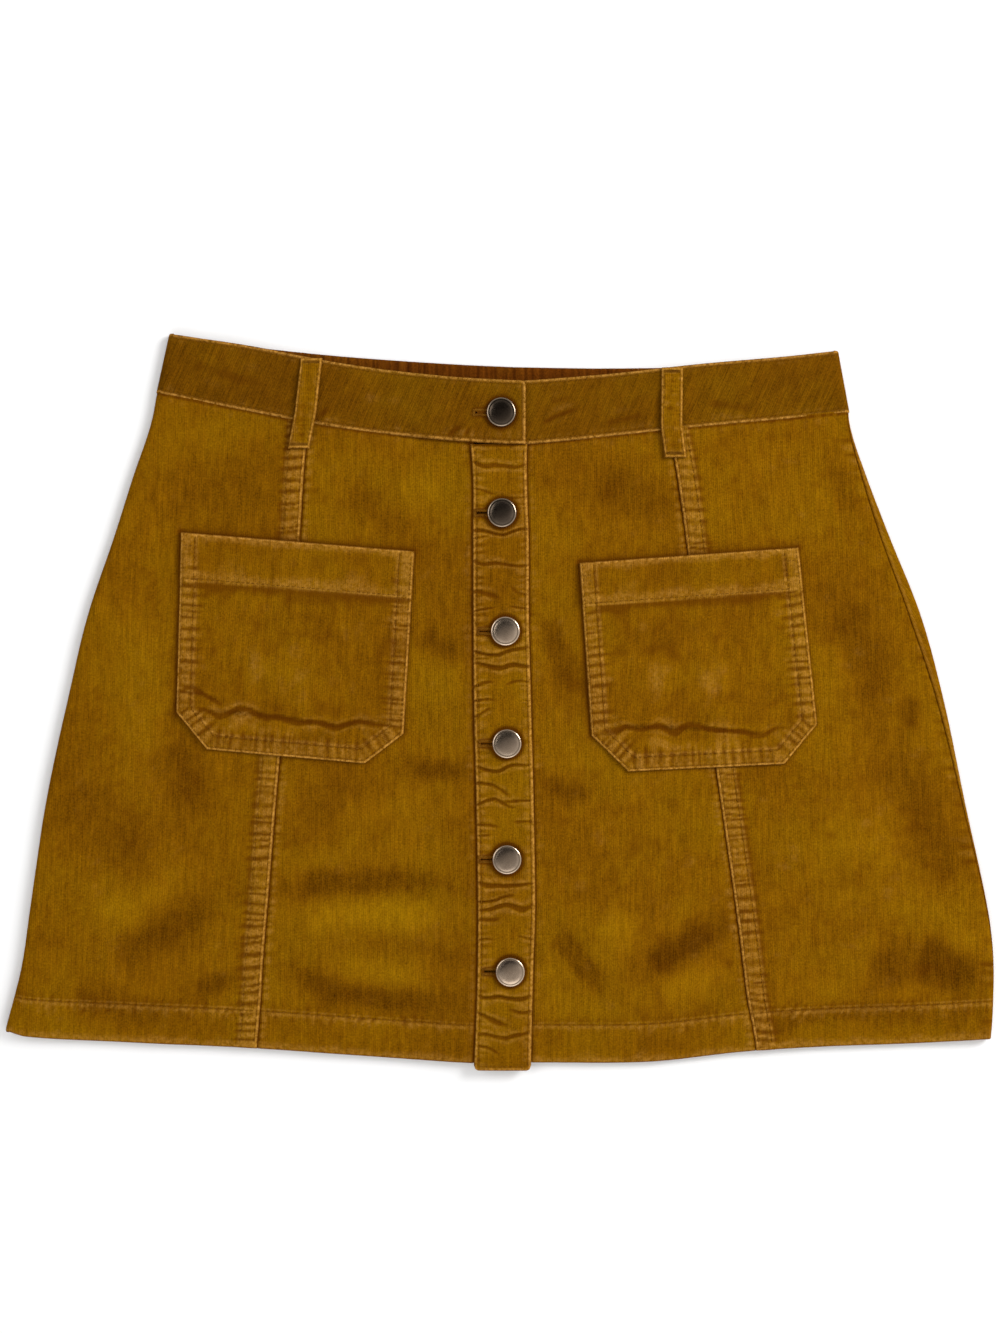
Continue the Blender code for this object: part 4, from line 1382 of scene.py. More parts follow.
@dataclass
class SidePanel(FrontPanel):
    """A front side panel: its seam band is gathered between two rows, and it turns round the side fold."""

    rows: ClassVar[Spread] = Spread(365.0, 30.0, 12.0, 1.0, 1.15)
    columns: ClassVar[Spread] = Spread(135.0, 15.0, 10.0, 0.85, 1.75)
    turns: ClassVar[Array] = np.linspace(0.0, 1.0, 8)[None, 1:]

    def bend(self, y: Array) -> Array:
        """Where the flat part ends, as a length along the cloth from the fold's outermost line."""
        return np.maximum(SIDE_QUARTER, LAYOUT.side_seam_reach(self.side, y) + 1.0)

    def across(self, y: Array) -> Array:
        """Each column's x, with the flat part's last one repeated for those round the fold."""
        flat = y[:, : len(self.columns.share)]
        finish = LAYOUT.side(self.side, flat) - self.side * (SIDE_RADIUS + self.bend(flat) - SIDE_QUARTER)
        x = mix(LAYOUT.seam(self.side, flat), finish, self.columns.share[None, :])
        x = x + self.side * self.columns.offset[None, :]
        return np.concatenate([x, np.repeat(x[:, -1:], self.turns.shape[1], axis=1)], axis=1)

    def build(self) -> Item:
        """Makes the panel.

        Returns:
            Its object.
        """
        x, y = self.settle(self.across)
        relief = self.relief(x, y)
        outer, inner = self.faces(x, y, relief)
        count = len(self.columns.share)
        over = y[:, count:]
        stop = LAYOUT.side_seam_reach(self.side, over)
        reach = mix(self.bend(over), stop, self.turns)
        edge = LAYOUT.side(self.side, over)
        rim = np.clip(relief[:, count:], -0.5, 0.0)
        wall = self.wall(x, y)[:, count:]
        outer[:, count:] = turned(edge, self.side, SIDE_RADIUS, reach, over, -rim)
        inner[:, count:] = turned(edge, self.side, SIDE_RADIUS, reach, over, wall)
        outer[:, count:, 2] -= np.where(reach > 0.5, 0.45 * bump(reach - stop, 0.8), 0.0)
        cut = stacked(x, y)
        cut[:, count:, 0] = x[:, count - 1 : count] + self.side * (self.bend(over) - reach)
        wear, hollow = self.marks(x, y, relief, 0.19)
        from_seam = np.abs(x - LAYOUT.seam(self.side, y))
        wear += 1.2 * bump(from_seam - 0.4, 0.85) + 0.12 * bump(from_seam - 5.0, 4.0)
        wear += 0.3 * bump(from_seam - SEAM_BAND - 1.1, 0.7)
        # Painted shade in the side seam's groove.
        hollow[:, count:] += 0.45 * bump(reach - stop, 1.0)
        parts = [outer, inner, cut, wear, hollow, LAYOUT.folds(x, y)]
        *grids, folds = [part[:, :: self.side] for part in parts]
        return self.make(*grids, folds=folds)

    def relief(self, x: Array, y: Array) -> Array:
        """Height of the panel's small folds, gathers and stitched lines."""
        offset = (x - LAYOUT.seam(self.side, y)) * self.side
        relief = self.small_relief(x, y)
        inside = ease(offset / 2.0) * (1 - ease((offset - SEAM_BAND) / 1.6))
        outside = bump(offset - SEAM_BAND, 4.0) * (offset > SEAM_BAND)
        relief += SEAM_GATHERS[self.side].height(y, offset) * (1.05 * inside + 0.5 * outside)
        relief += ALLOWANCE_LIFT * (1 - ease((offset - SEAM_BAND - 0.4) / 1.2))
        relief += stitch_groove(-y, offset - SEAM_ROW, 0.32) + stitch_groove(-y, offset - SEAM_BAND, 0.42)
        relief += round_edge(offset + 0.1, 0.8)
        if self.side > 0:
            from_side = LAYOUT.side(1, y) - x - SIDE_RADIUS
            relief += SIDE_GATHERS.height(y, 0.0) * bump(from_side, 7.0)
        return relief


@dataclass
class BackPanel(ClothPiece):
    """The back: flat on the table, turned up at both folds and shown beside the right side seam."""

    rows: ClassVar[Spread] = Spread(375.0, 26.0, 0.0, 1.4, 1.9)
    columns: ClassVar[Spread] = Spread(520.0, 0.0, 0.0, 1.0, 7.0)
    over: ClassVar[Array] = np.linspace(1.0, 0.0, 17)[None, :-1]
    under: ClassVar[Array] = np.linspace(0.0, 1.0, 7)[None, 1:]

    def across(self, y: Array) -> Array:
        """Each column's x, from the right fold to the left one."""
        first = self.over.shape[1]
        flat = y if y.shape[1] == 1 else y[:, first : -self.under.shape[1]]
        right, left = LAYOUT.side(1, flat) - SIDE_RADIUS, LAYOUT.side(-1, flat) + SIDE_RADIUS
        x = self.columns.across(right, left)
        ends = np.repeat(x[:, :1], first, axis=1), np.repeat(x[:, -1:], self.under.shape[1], axis=1)
        return np.concatenate([ends[0], x, ends[1]], axis=1)

    def foot(self, x: Array) -> Array:
        """The back's hem, a little above the front's."""
        return LAYOUT.hem(x) + BACK_HEM_LIFT * ease((BACK_HEM_END - np.abs(x)) / SIDE_SLOPE)

    def top(self, x: Array) -> Array:
        """The back's waist seam."""
        return LAYOUT.waist(x) + LAYOUT.back_rise(x)

    def build(self) -> Item:
        """Makes the panel.

        Returns:
            Its object.
        """
        x, y = settle(self.rows, self.across, self.foot, self.top)
        wall = np.where(y < self.foot(x) + HEM_DEPTH, HEM_WALL, CLOTH)
        outer, inner = stacked(x, y, 0 * x), stacked(x, y, wall)
        cut, wear, hollow = stacked(x, y), 0 * x, 0 * x

        right = slice(0, self.over.shape[1])
        high = y[:, right]
        stop = LAYOUT.side_seam_reach(1, high)
        reach = mix(-SIDE_QUARTER, stop, self.over)
        lift = SIDE_GATHERS.height(high, 0.0) * 0.5 * ease(reach / 3) + 0.25 * bump(reach - stop, 2.5)
        rim = np.minimum(lift + round_edge(stop - reach + 0.15, 0.6), 0.4)
        edge = LAYOUT.side(1, high)
        outer[:, right] = turned(edge, 1, SIDE_RADIUS, reach, high, -rim)
        inner[:, right] = turned(edge, 1, SIDE_RADIUS, reach, high, wall[:, right])
        cut[:, right, 0] = x[:, right.stop : right.stop + 1] + reach + SIDE_QUARTER
        # Painted shade in the side seam's groove; the next line is a worn pale edge beside it.
        hollow[:, right] = 0.5 * bump(stop - reach, 0.7)
        wear[:, right] = 0.3 * bump(stop - reach - 1.2, 0.8)

        left = slice(x.shape[1] - self.under.shape[1], x.shape[1])
        low = y[:, left]
        reach = mix(-SIDE_QUARTER, LAYOUT.side_seam_reach(-1, low), self.under)
        edge = LAYOUT.side(-1, low)
        outer[:, left] = turned(edge, -1, SIDE_RADIUS, reach, low, 0.0)
        inner[:, left] = turned(edge, -1, SIDE_RADIUS, reach, low, wall[:, left])
        cut[:, left, 0] = x[:, left.start - 1 : left.start] - (reach + SIDE_QUARTER)
        return self.make(outer, inner, cut, wear, hollow)


@dataclass
class Placket(ClothPiece):
    """A doubled strip down the centre front; the upper one shows, with its buttonholes and wrinkles."""

    upper: bool = True

    def build(self) -> Item:
        """Makes the strip.

        Returns:
            Its object.
        """
        columns = Spread(33.0, 4.0, 4.0, 0.7, 1.0 if self.upper else 3.0)
        rows = Spread(358.0, 4.0, 4.0, 0.6, 0.6 if self.upper else 3.5)
        foot = float(LAYOUT.hem(0.0)) - (PLACKET_DROP if self.upper else 0.0)
        top = float(LAYOUT.waist(0.0)) - 0.2
        left_tuck, right_tuck = (0.0, 0.0) if self.upper else (1.0, PLACKET_COVER + 0.2)

        def across(y: Array) -> Array:
            """Each column's x."""
            return columns.across(LAYOUT.placket(-1, y) + left_tuck, LAYOUT.placket(1, y) - right_tuck)

        x, y = settle(rows, across, lambda place: foot + 0 * place, lambda place: top + 0 * place)
        left, right = x - x[:, :1], x[:, -1:] - x
        base = PLACKET_LEVEL if self.upper else UNDER_PLACKET_LEVEL
        if not self.upper:
            outer = stacked(x, y, base + round_edge(np.minimum(left, right), 0.8))
            return self.make(outer, stacked(x, y, base - BAND_WALL + 0 * x), stacked(x, y), 0 * x, 0 * x)
        y = y - round_edge(np.minimum(left, right), 3.5) * ease(1 - (y - y[:1]) / 12.0)
        relief = self.relief(x, y, foot, top)
        wear, hollow = mark_relief(relief, 4, 0.22)
        wear += 1.2 * bump(right - 0.5, 0.9) + 0.8 * bump(left - 0.5, 0.7) + 0.7 * bump(y - foot - 0.5, 0.8)
        holes = np.zeros(x.shape, bool)
        for place in BUTTONS[1:]:
            slit, ring, shade = buttonhole_marks(x, y, place)
            holes |= slit
            wear += 0.3 * ring
            # Painted shade by the buttonhole and round the button.
            hollow += shade
        low = np.minimum(base - BAND_WALL, base + relief - 0.7)
        outer, inner = stacked(x, y, base + relief), stacked(x, y, low)
        return self.make(outer, inner, stacked(x, y), wear, hollow, holes=holes)

    def relief(self, x: Array, y: Array, foot: float, top: float) -> Array:
        """Height of the strip's wrinkles, gathers, stitched lines and edges."""
        left, right = x - x[:, :1], x[:, -1:] - x
        wander = Ripple(self.seed + 2, 16.0, 1.3).height(x, y)
        relief = 1.4 * crease_relief(PLACKET_CREASES, x, y + wander)
        relief += Ripple(self.seed, 24.0, 0.08).height(x, y)
        by_edges = 1.1 * bump(left - 3.0, 5.0) + 0.7 * bump(right - 3.0, 3.5)
        relief += PLACKET_GATHERS.height(y, x * 0.3) * by_edges
        sewn = stitch_groove(y, left - PLACKET_LEFT_ROW, 0.34)
        relief += sewn + stitch_groove(y, right - PLACKET_RIGHT_ROW, 0.34)
        relief += round_edge(left, 0.9) + round_edge(right, 1.1) + round_edge(y - foot, 1.1)
        relief += stitch_groove(x, y - foot - 2.4, 0.25) - 0.9 * bump(top - y, 1.3)
        for place in BUTTONS[1:]:
            relief -= 0.45 * bump(np.hypot(x - place.x, y - place.y) - BUTTON_SINK, 2.2)
        return relief


def buttonhole_marks(x: Array, y: Array, place: ButtonPlace) -> tuple[Array, Array, Array]:
    """Where a buttonhole is cut through, its sewn edge, and the painted shade in the pulled cloth beside it
    and round the button.

    Args:
        x: places across.
        y: places along.
        place: the button that stands in it.

    Returns:
        The cut, as True or False, and the edge and the painted shade, each from 0 to 1.
    """
    along, beside = place.x - x, y - place.y
    away = np.hypot(along, beside)
    slit = (along > 0.0) & (along < BUTTONHOLE_REACH) & (np.abs(beside) < BUTTONHOLE_HALF)
    outside = np.maximum(np.maximum(-along, along - BUTTONHOLE_REACH), 0.0)
    pull = ease((along - 6.0) / 2.5) * (1 - ease((along - 15.0) / 3.0))
    tucks = bump(np.abs(beside) - 3.4 + 0.1 * along, 0.9) + 1.1 * bump(beside, 1.3)
    # Painted shade in the tucks beside the slit, and a painted shadow ring round the button's cap.
    shade = 1.1 * pull * tucks + 0.9 * bump(away - 9.1, 1.3)
    return slit | (away < BUTTONHOLE_EYE), bump(np.hypot(outside, np.abs(beside)), 1.3), shade


@dataclass
class FrontBand(ClothPiece):
    """A front half of the waistband, from its end at the centre round a side fold."""

    side: int = -1
    columns: ClassVar[Spread] = Spread(BAND_LENGTH, 5.0, 0.0, 0.7, 1.15)
    rows: ClassVar[Spread] = Spread(BAND_DEPTH, 5.0, 5.0, 0.6, 1.05)

    def build(self) -> Item:
        """Makes the band.

        Returns:
            Its object.
        """
        left = self.side < 0
        end, fold_share = (OVERLAP_END, 0.0) if left else (UNDERLAP_END, 1.0)
        end_share = float(LAYOUT.band_share(end))
        share, v = np.meshgrid(mix(end_share, fold_share, self.columns.shares), 1 - self.rows.shares)
        x, y = LAYOUT.band_point(share, v)
        if left:
            y = y + (1 - v) * round_edge(np.abs(x - end), 4.0)
        edge, edge_y = LAYOUT.band_point(np.full(v[:, :1].shape, fold_share), v[:, :1])
        x = np.minimum(self.side * x, self.side * edge - BAND_RADIUS) * self.side
        to_fold = self.side * (edge - x) - BAND_RADIUS
        base = mix(self.level(x, end), 2 * BAND_RADIUS, ease(1 - to_fold / 25.0))
        relief = self.relief(x, y, v, np.abs(x - end))
        flat = stacked(x, y, base + relief), stacked(x, y, base - BAND_WALL)

        def carried(values: Array) -> Array:
            """A grid's values with the last column's carried round the fold."""
            return np.concatenate([values, np.repeat(values[:, -1:], BAND_TURNS, axis=1)], axis=1)

        reach = mix(BAND_QUARTER, LEFT_SEAM_REACH, np.linspace(0.0, 1.0, BAND_TURNS + 1)[None, 1:])
        reach = np.broadcast_to(reach, (len(v), BAND_TURNS))
        sunk = -np.clip(relief[:, -1:], -1.0, 0.0)
        outer, inner = (
            np.concatenate([face, turned(edge, self.side, BAND_RADIUS, reach, edge_y, depth)], axis=1)
            for face, depth in zip(flat, (sunk, BAND_WALL))
        )
        beyond = edge - self.side * BAND_RADIUS + self.side * (BAND_QUARTER - reach)
        around_y = np.broadcast_to(edge_y, reach.shape)
        cut = stacked(np.concatenate([x, beyond], axis=1), np.concatenate([y, around_y], axis=1))
        wear, hollow = mark_relief(carried(relief), 4, 0.3)
        depth = BAND_DEPTH * carried(v)
        from_end = np.abs(np.concatenate([x, np.broadcast_to(edge, reach.shape)], axis=1) - end)
        wear += 1.1 * bump(depth - 0.5, 0.85) + 1.2 * bump(BAND_DEPTH - depth - 0.5, 0.85)
        wear += 1.2 * bump(from_end - 0.6, 1.1)
        holes = np.zeros(wear.shape, bool)
        if left:
            holes, ring, shade = buttonhole_marks(outer[..., 0], outer[..., 1], BUTTONS[0])
            wear += 0.3 * ring
            # Painted shade by the buttonhole and round the button.
            hollow += shade
        *grids, holes = [part[:, :: self.side] for part in (outer, inner, cut, wear, hollow, holes)]
        return self.make(*grids, holes=holes if left else None)

    def level(self, x: Array, end: float) -> Array:
        """Height of the band's outer face: it climbs to its end at the centre."""
        end_level = OVERLAP_LEVEL if self.side < 0 else UNDERLAP_LEVEL
        flat = OVERLAP_END - UNDERLAP_END + OVERLAP_MARGIN
        return mix(BAND_LEVEL, end_level, ease(1 - (np.abs(x - end) - flat) / OVERLAP_SLOPE))

    def relief(self, x: Array, y: Array, v: Array, from_end: Array) -> Array:
        """Height of the band's stitched lines, slanting wrinkles, gathers and edges."""
        from_top, from_foot = BAND_DEPTH * v, BAND_DEPTH * (1 - v)
        relief = BAND_LIFT + Ripple(self.seed, 26.0, 0.09).height(x, y) + crease_relief(BAND_CREASES, x, y)
        gathers = WAIST_GATHERS[self.side].height(x, from_foot)
        relief += gathers * (0.8 * bump(from_foot - 4.0, 4.5) + 0.5 * bump(from_top - 3.0, 3.5))
        sewn = stitch_groove(x, from_foot - BAND_FOOT_ROW, 0.34)
        relief += sewn + stitch_groove(x, from_top - BAND_TOP_ROW, 0.3)
        relief += round_edge(from_top, 1.1) + round_edge(from_foot, 1.1)
        relief += stitch_groove(y, from_end - BAND_END_ROW, 0.34) + round_edge(from_end, 1.1)
        if self.side < 0:
            relief -= 0.4 * bump(np.hypot(x - BUTTONS[0].x, y - BUTTONS[0].y) - BUTTON_SINK, 2.2)
        return relief


@dataclass
class BackBand(ClothPiece):
    """The back of the waistband, whose ribbed inner face shows above the front's."""

    def build(self) -> Item:
        """Makes the band.

        Returns:
            Its object.
        """
        columns = Spread(BACK_BAND_LENGTH, 0.0, 0.0, 1.0, 0.95)
        rows = Spread(BAND_DEPTH, 0.0, 6.0, 0.8, 4.0)
        share, v = np.meshgrid(1 - columns.share, 1 - rows.shares)
        x, y = LAYOUT.band_point(share, v)
        y = y + mix(LAYOUT.band["back_rise"](share), LAYOUT.back_rise(x), v)
        turns = np.linspace(0.0, 1.0, BACK_BAND_TURNS + 1)[None, 1:]
        ends = {}
        for side, turn in ((1, turns[:, ::-1]), (-1, turns)):
            edge, edge_y = LAYOUT.band_point(np.full(v[:, :1].shape, (side + 1) / 2), v[:, :1])
            reach = np.broadcast_to(mix(-BAND_QUARTER, LEFT_SEAM_REACH, turn), (len(v), BACK_BAND_TURNS))
            ends[side] = [turned(edge, side, BAND_RADIUS, reach, edge_y, depth) for depth in (0.0, BAND_WALL)]
            x = side * np.minimum(side * x, side * edge - BAND_RADIUS)
        ribs = RIB_GATHERS.height(x, 0.0)
        shown = ease((BACK_BAND_LENGTH / 2 - 12.0 - np.abs(x)) / 20.0)
        inner_z = BAND_WALL + (ribs * 0.6 - 0.25) * shown + round_edge(BAND_DEPTH * v, 1.2)
        flat = stacked(x, y, 0 * x), stacked(x, y, inner_z)
        outer, inner = (np.concatenate([ends[1][k], flat[k], ends[-1][k]], axis=1) for k in (0, 1))
        # Painted shade between the ribs of the inner face.
        shade = np.clip(0.25 - 3.0 * ribs, 0.0, 1.0) * shown
        hollow = np.pad(shade, ((0, 0), (BACK_BAND_TURNS, BACK_BAND_TURNS)))
        return self.make(outer, inner, outer[..., :2].copy(), 0 * hollow, hollow)


@dataclass
class PatchPocket(ClothPiece):
    """A patch pocket: two rows of stitching round it, gathers between them, and a hem across its top."""

    shape: PocketShape = POCKETS[0]
    columns: ClassVar[Spread] = Spread(133.0, 10.0, 10.0, 0.75, 1.25)
    rows: ClassVar[Spread] = Spread(124.0, 10.0, 5.0, 0.75, 1.1)

    def build(self) -> Item:
        """Makes the pocket.

        Returns:
            Its object.
        """
        shape = self.shape
        left_side, right_side = Line(shape.left), Line(shape.right)
        along = self.rows.shares
        corners = [line.marks[1] / line.length for line in (left_side, right_side)]
        matched = np.interp(along, [0.0, corners[0], 1.0], [0.0, corners[1], 1.0])
        left = stacked(*left_side.at(along * left_side.length))[:, None]
        right = stacked(*right_side.at(matched * right_side.length))[:, None]
        x, y = np.moveaxis(mix(left, right, self.columns.shares[None, :, None]), -1, 0)
        from_top = shape.top(x) - y
        over_band = (x - LAYOUT.seam(shape.side, y)) * shape.side
        ridge = ALLOWANCE_LIFT * ease((over_band + 5) / 5) * (1 - ease((over_band - SEAM_BAND) / 5))
        low = LAYOUT.level(x, y) + 0.55 + ridge
        along, inward = Line(shape.corners).near(x, y)
        inward = np.abs(inward)
        relief = self.relief(x, y, from_top, along, inward)
        outer = stacked(x, y, low + POCKET_WALL + relief)
        inner = stacked(x, y, np.minimum(low, low + POCKET_WALL + relief - THIN_WALL))
        wear, hollow = mark_relief(relief, 4, 0.2)
        # The hem band is darkened a little with the shade colour.
        hollow += 0.06 * (from_top < shape.hem_depth - 2.0)
        wear += 1.15 * bump(inward - 0.4, 0.8) + 0.9 * bump(from_top - 0.4, 0.8)
        wear += 0.45 * bump(inward - POCKET_BAND - 1.1, 0.7) + 0.1 * bump(inward - 5.0, 3.5)
        wear += 0.3 * bump(from_top - shape.hem_depth + 0.6, 0.9)
        return self.make(outer, inner, stacked(x, y), wear, hollow, folds=crease_relief(shape.creases, x, y))

    def relief(self, x: Array, y: Array, from_top: Array, along: Array, inward: Array) -> Array:
        """Height of the pocket's hem, gathers, stitched lines, folds and edges."""
        shape = self.shape
        inside = ease(inward / 2.0) * (1 - ease((inward - POCKET_BAND) / 1.6))
        outside = bump(inward - POCKET_BAND, 6.0) * (inward > POCKET_BAND)
        by_side = ease((from_top - 12.0) / 10.0) * (1 - 0.55 * ease((from_top - 112.0) / 6.0))
        relief = Gathers(shape.seed, 420.0, 4.9, 1.0, 0.18).height(along, inward)
        relief = relief * by_side * (inside + 0.6 * outside) + 0.22 * (1 - ease((inward - POCKET_BAND) / 1.2))
        sewn = stitch_groove(along, inward - POCKET_ROW, 0.3)
        relief += sewn + stitch_groove(along, inward - POCKET_BAND, 0.42)
        relief += (POCKET_HEM_WALL - POCKET_WALL) * ease((shape.hem_depth - from_top) / 0.9)
        relief += stitch_groove(x, from_top - shape.hem_depth + POCKET_HEM_ROW, 0.32)
        hem_gathers = Gathers(shape.seed + 1, 150.0, 4.0, 0.2, 0.3, float(x.min()))
        relief += hem_gathers.height(x, from_top) * bump(from_top - shape.hem_depth + 1.0, 4.0)
        wander = Ripple(self.seed + 2, 22.0, 1.6).height(x, y)
        relief += crease_relief(shape.creases, x, y + wander) + self.uneven(x, y, 30.0)
        return relief + round_edge(inward, 0.85) + round_edge(from_top, 0.85)


@dataclass
class BeltLoop(ClothPiece):
    """A belt loop: a folded strip with two rows of stitching, tacked down at both ends."""

    shape: LoopShape = BELT_LOOPS[0]

    def build(self) -> Item:
        """Makes the loop.

        Returns:
            Its object.
        """
        middle = self.shape.middle
        t, length = np.meshgrid(np.linspace(-0.5, 0.5, 19), np.linspace(0.0, middle.length, 76))
        centre_x, y = middle.at(length)
        smooth = np.convolve(np.pad(centre_x[:, 0], 6, "edge"), np.ones(13) / 13, "valid")
        x = smooth[:, None] + LOOP_WIDTH * t
        above = y - LAYOUT.waist(x)
        low = mix(LAYOUT.level(x, y) + ALLOWANCE_LIFT, BAND_LEVEL, ease((above + 4.0) / 6.0)) + 0.45
        low += LOOP_ARCH * np.sin(math.pi * length / middle.length) + 0.5 * bump(above, 6.0)
        from_side = LOOP_WIDTH * (0.5 - np.abs(t))
        ends = np.minimum(length, middle.length - length)
        relief = Ripple(self.seed, 9.0, 0.14).height(x, y) + round_edge(from_side, 0.8)
        relief += stitch_groove(length, from_side - 1.5, 0.22)
        relief += Gathers(self.seed, 60.0, 5.0, 0.35, 0.2).height(length, x) * bump(from_side - 6.0, 5.0)
        relief += 0.35 * (1 - ease((ends - 3.0) / 1.5)) + round_edge(ends, 0.8) - 0.35 * bump(ends - 2.4, 0.9)
        wear, hollow = mark_relief(relief, 3, 0.3)
        wear += 1.0 * bump(from_side - 0.4, 0.7) + 0.9 * bump(ends - 0.5, 0.8)
        outer = stacked(x, y, low + LOOP_WALL + relief)
        return self.make(outer, stacked(x, y, low), stacked(x, y), wear, hollow)


class StitchMaker:
    """Sews rows of thread on finished cloth."""

    def __init__(self) -> None:
        """Models one stitch, which every row copies."""
        bpy.ops.object.select_all(action="DESELECT")
        bpy.ops.mesh.primitive_uv_sphere_add(segments=6, ring_count=5, radius=1.0)
        model = bpy.context.active_object
        bpy.ops.transform.rotate(value=math.pi / 2, orient_axis="Y", center_override=(0.0, 0.0, 0.0))
        bpy.ops.object.transform_apply(location=False, rotation=True, scale=False)
        self.points = np.array([tuple(vertex.co) for vertex in model.data.vertices])
        self.faces = [tuple(face.vertices) for face in model.data.polygons]
        bpy.data.objects.remove(model, do_unlink=True)

    def sew(self, name: str, cloth: Item, rows: list[StitchRow]) -> Item:
        """Lays stitches on a cloth's upper face.

        Args:
            name: of the piece.
            cloth: what the thread lies on.
            rows: the rows of stitches.

        Returns:
            The stitches as one object.
        """
        tree = BVHTree.FromObject(cloth, bpy.context.evaluated_depsgraph_get())
        down = Vector((0.0, 0.0, -1.0))
        points, faces, count = [], [], 0
        for starts, ends, width in rows:
            for start, end in zip(starts, ends):
                tips = []
                for place in (start, (start + end) / 2, end):
                    hit = tree.ray_cast(Vector((place[0], place[1], RAY_HEIGHT)) * MM, down)[0]
                    tips.append(None if hit is None else hit.z / MM)
                if None in tips:
                    continue
                run = np.array([*(end - start), tips[2] - tips[0]])
                length = float(np.linalg.norm(run))
                if length > STEEPEST * math.hypot(*(end - start)):
                    continue
                ahead = run / length
                aside = np.cross((0.0, 0.0, 1.0), ahead)
                aside /= np.linalg.norm(aside)
                above = np.cross(ahead, aside)
                centre = np.array([*((start + end) / 2), max(tips[1], (tips[0] + tips[2]) / 2) + 0.1 * width])
                size = np.array([length / 2, width / 2, width / 2])
                points.append(centre + (self.points * size) @ np.stack([ahead, aside, above]))
                faces.extend(tuple(k + count for k in face) for face in self.faces)
                count += len(self.points)
        mesh = bpy.data.meshes.new(name)
        mesh.from_pydata((np.concatenate(points) * MM).tolist(), [], faces)
        mesh.shade_smooth()
        mesh.materials.append(finish_material(Thread()))
        item = bpy.data.objects.new(name, mesh)
        bpy.context.scene.collection.objects.link(item)
        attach(item, BODY)
        LOG.info("%s: %d faces", name, len(mesh.polygons))
        return item


def running_row(line: Line, width: float = THREAD, skip: float = 0.0) -> StitchRow:
    """A row of stitches along a line, with a length left free at both ends."""
    starts = np.arange(skip, line.length - skip - STITCH_PITCH, STITCH_PITCH)
    return stacked(*line.at(starts + 0.3)), stacked(*line.at(starts + STITCH_PITCH - 0.35)), width


def bar_tack(line: Line, half: float, pitch: float) -> StitchRow:
    """Close stitches across a line, as in a bar tack or a buttonhole's edge."""
    along = np.arange(0.0, line.length, pitch)
    centre = stacked(*line.at(along))
    ahead = stacked(*line.at(np.minimum(along + 0.2, line.length))) - stacked(*line.at(along - 0.2))
    ahead /= np.linalg.norm(ahead, axis=1)[:, None]
    across = stacked(-ahead[:, 1], ahead[:, 0]) * half
    return centre - across, centre + across, 0.5


@dataclass
class TackButton:
    """A tack button: a cap with a rounded rim, its shank and post, and the disc at the back."""

    number: int
    place: ButtonPlace
    radius: float = 8.5
    shank: float = 3.0
    post: float = 1.3
    disc: float = 4.0
    rim: float = 1.15
    height: float = 2.5
    crown: tuple = ((0.35, -0.05), (0.5, 0.16), (1.5, 0.24), (1.8, 0.17), (1.9, 0.06))

    def build(self) -> Item:
        """Makes the button.

        Returns:
            Its object.
        """
        first = self.number == 1
        face = (OVERLAP_LEVEL if first else PLACKET_LEVEL) + BUTTON_LIFT
        under_top = UNDERLAP_LEVEL if first else UNDER_PLACKET_LEVEL
        low = under_top - BAND_WALL - 1.0
        cap = self._drum("cap", 64, self.radius, face + 0.15, face + self.height)
        self._shape_cap(cap)
        shank = self._drum("shank", 24, self.shank, under_top + 0.3, face + 0.6)
        post = self._drum("post", 16, self.post, low + 0.3, under_top + 0.8)
        disc = self._drum("disc", 32, self.disc, low, low + 0.7)
        bpy.ops.object.select_all(action="DESELECT")
        for part in (disc, post, shank, cap):
            part.select_set(True)
        bpy.context.view_layer.objects.active = cap
        bpy.ops.object.join()
        button = bpy.context.active_object
        button.name = button.data.name = f"tack_button_{self.number}"
        bpy.ops.object.transform_apply(location=True, rotation=True, scale=True)
        bpy.ops.object.shade_smooth_by_angle(angle=math.radians(50.0))
        self._mark_wear(button)
        button.data.materials.clear()
        finish = AgedBrass(f"aged_brass_{self.number}", self.place.dark)
        button.data.materials.append(finish_material(finish))
        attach(button, BODY)
        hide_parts(f"button_{self.number}")
        LOG.info("%s: %d faces", button.name, len(button.data.polygons))
        return button

    def _drum(self, name: str, sides: int, radius: float, low: float, high: float) -> Item:
        """A short cylinder about the button's axis."""
        bpy.ops.object.select_all(action="DESELECT")
        bpy.ops.mesh.primitive_cylinder_add(
            vertices=sides,
            radius=radius * MM,
            depth=(high - low) * MM,
            location=(self.place.x * MM, self.place.y * MM, (low + high) / 2 * MM),
        )
        made = bpy.context.active_object
        made.name = name
        return made

    def _shape_cap(self, cap: Item) -> None:
        """Rounds the cap's rim and crowns its face."""
        pick_faces(cap, lambda face: face.normal.z > 0.9)
        bpy.ops.mesh.bevel(offset=self.rim * MM, segments=5, profile=0.5, affect="EDGES")
        bpy.ops.object.mode_set(mode="OBJECT")
        top = max(face.center.z for face in cap.data.polygons)
        pick_faces(cap, lambda face: face.center.z > top - 1e-6 and face.normal.z > 0.99)
        for step, lift in self.crown:
            bpy.ops.mesh.inset(thickness=step * MM, depth=0.0)
            bpy.ops.transform.translate(value=(0.0, 0.0, lift * MM))
        bpy.ops.object.mode_set(mode="OBJECT")

    def _mark_wear(self, button: Item) -> None:
        """Marks the rim, where the lacquer is rubbed off."""
        places = read(button.data.vertices, "co", 3) / MM
        away = np.hypot(places[:, 0] - self.place.x, places[:, 1] - self.place.y)
        mark = button.data.attributes.new("wear", "FLOAT", "POINT")
        upper = places[:, 2] > places[:, 2].max() - 1.6
        mark.data.foreach_set("value", bump(away - self.radius + 0.6, 0.7) * upper)


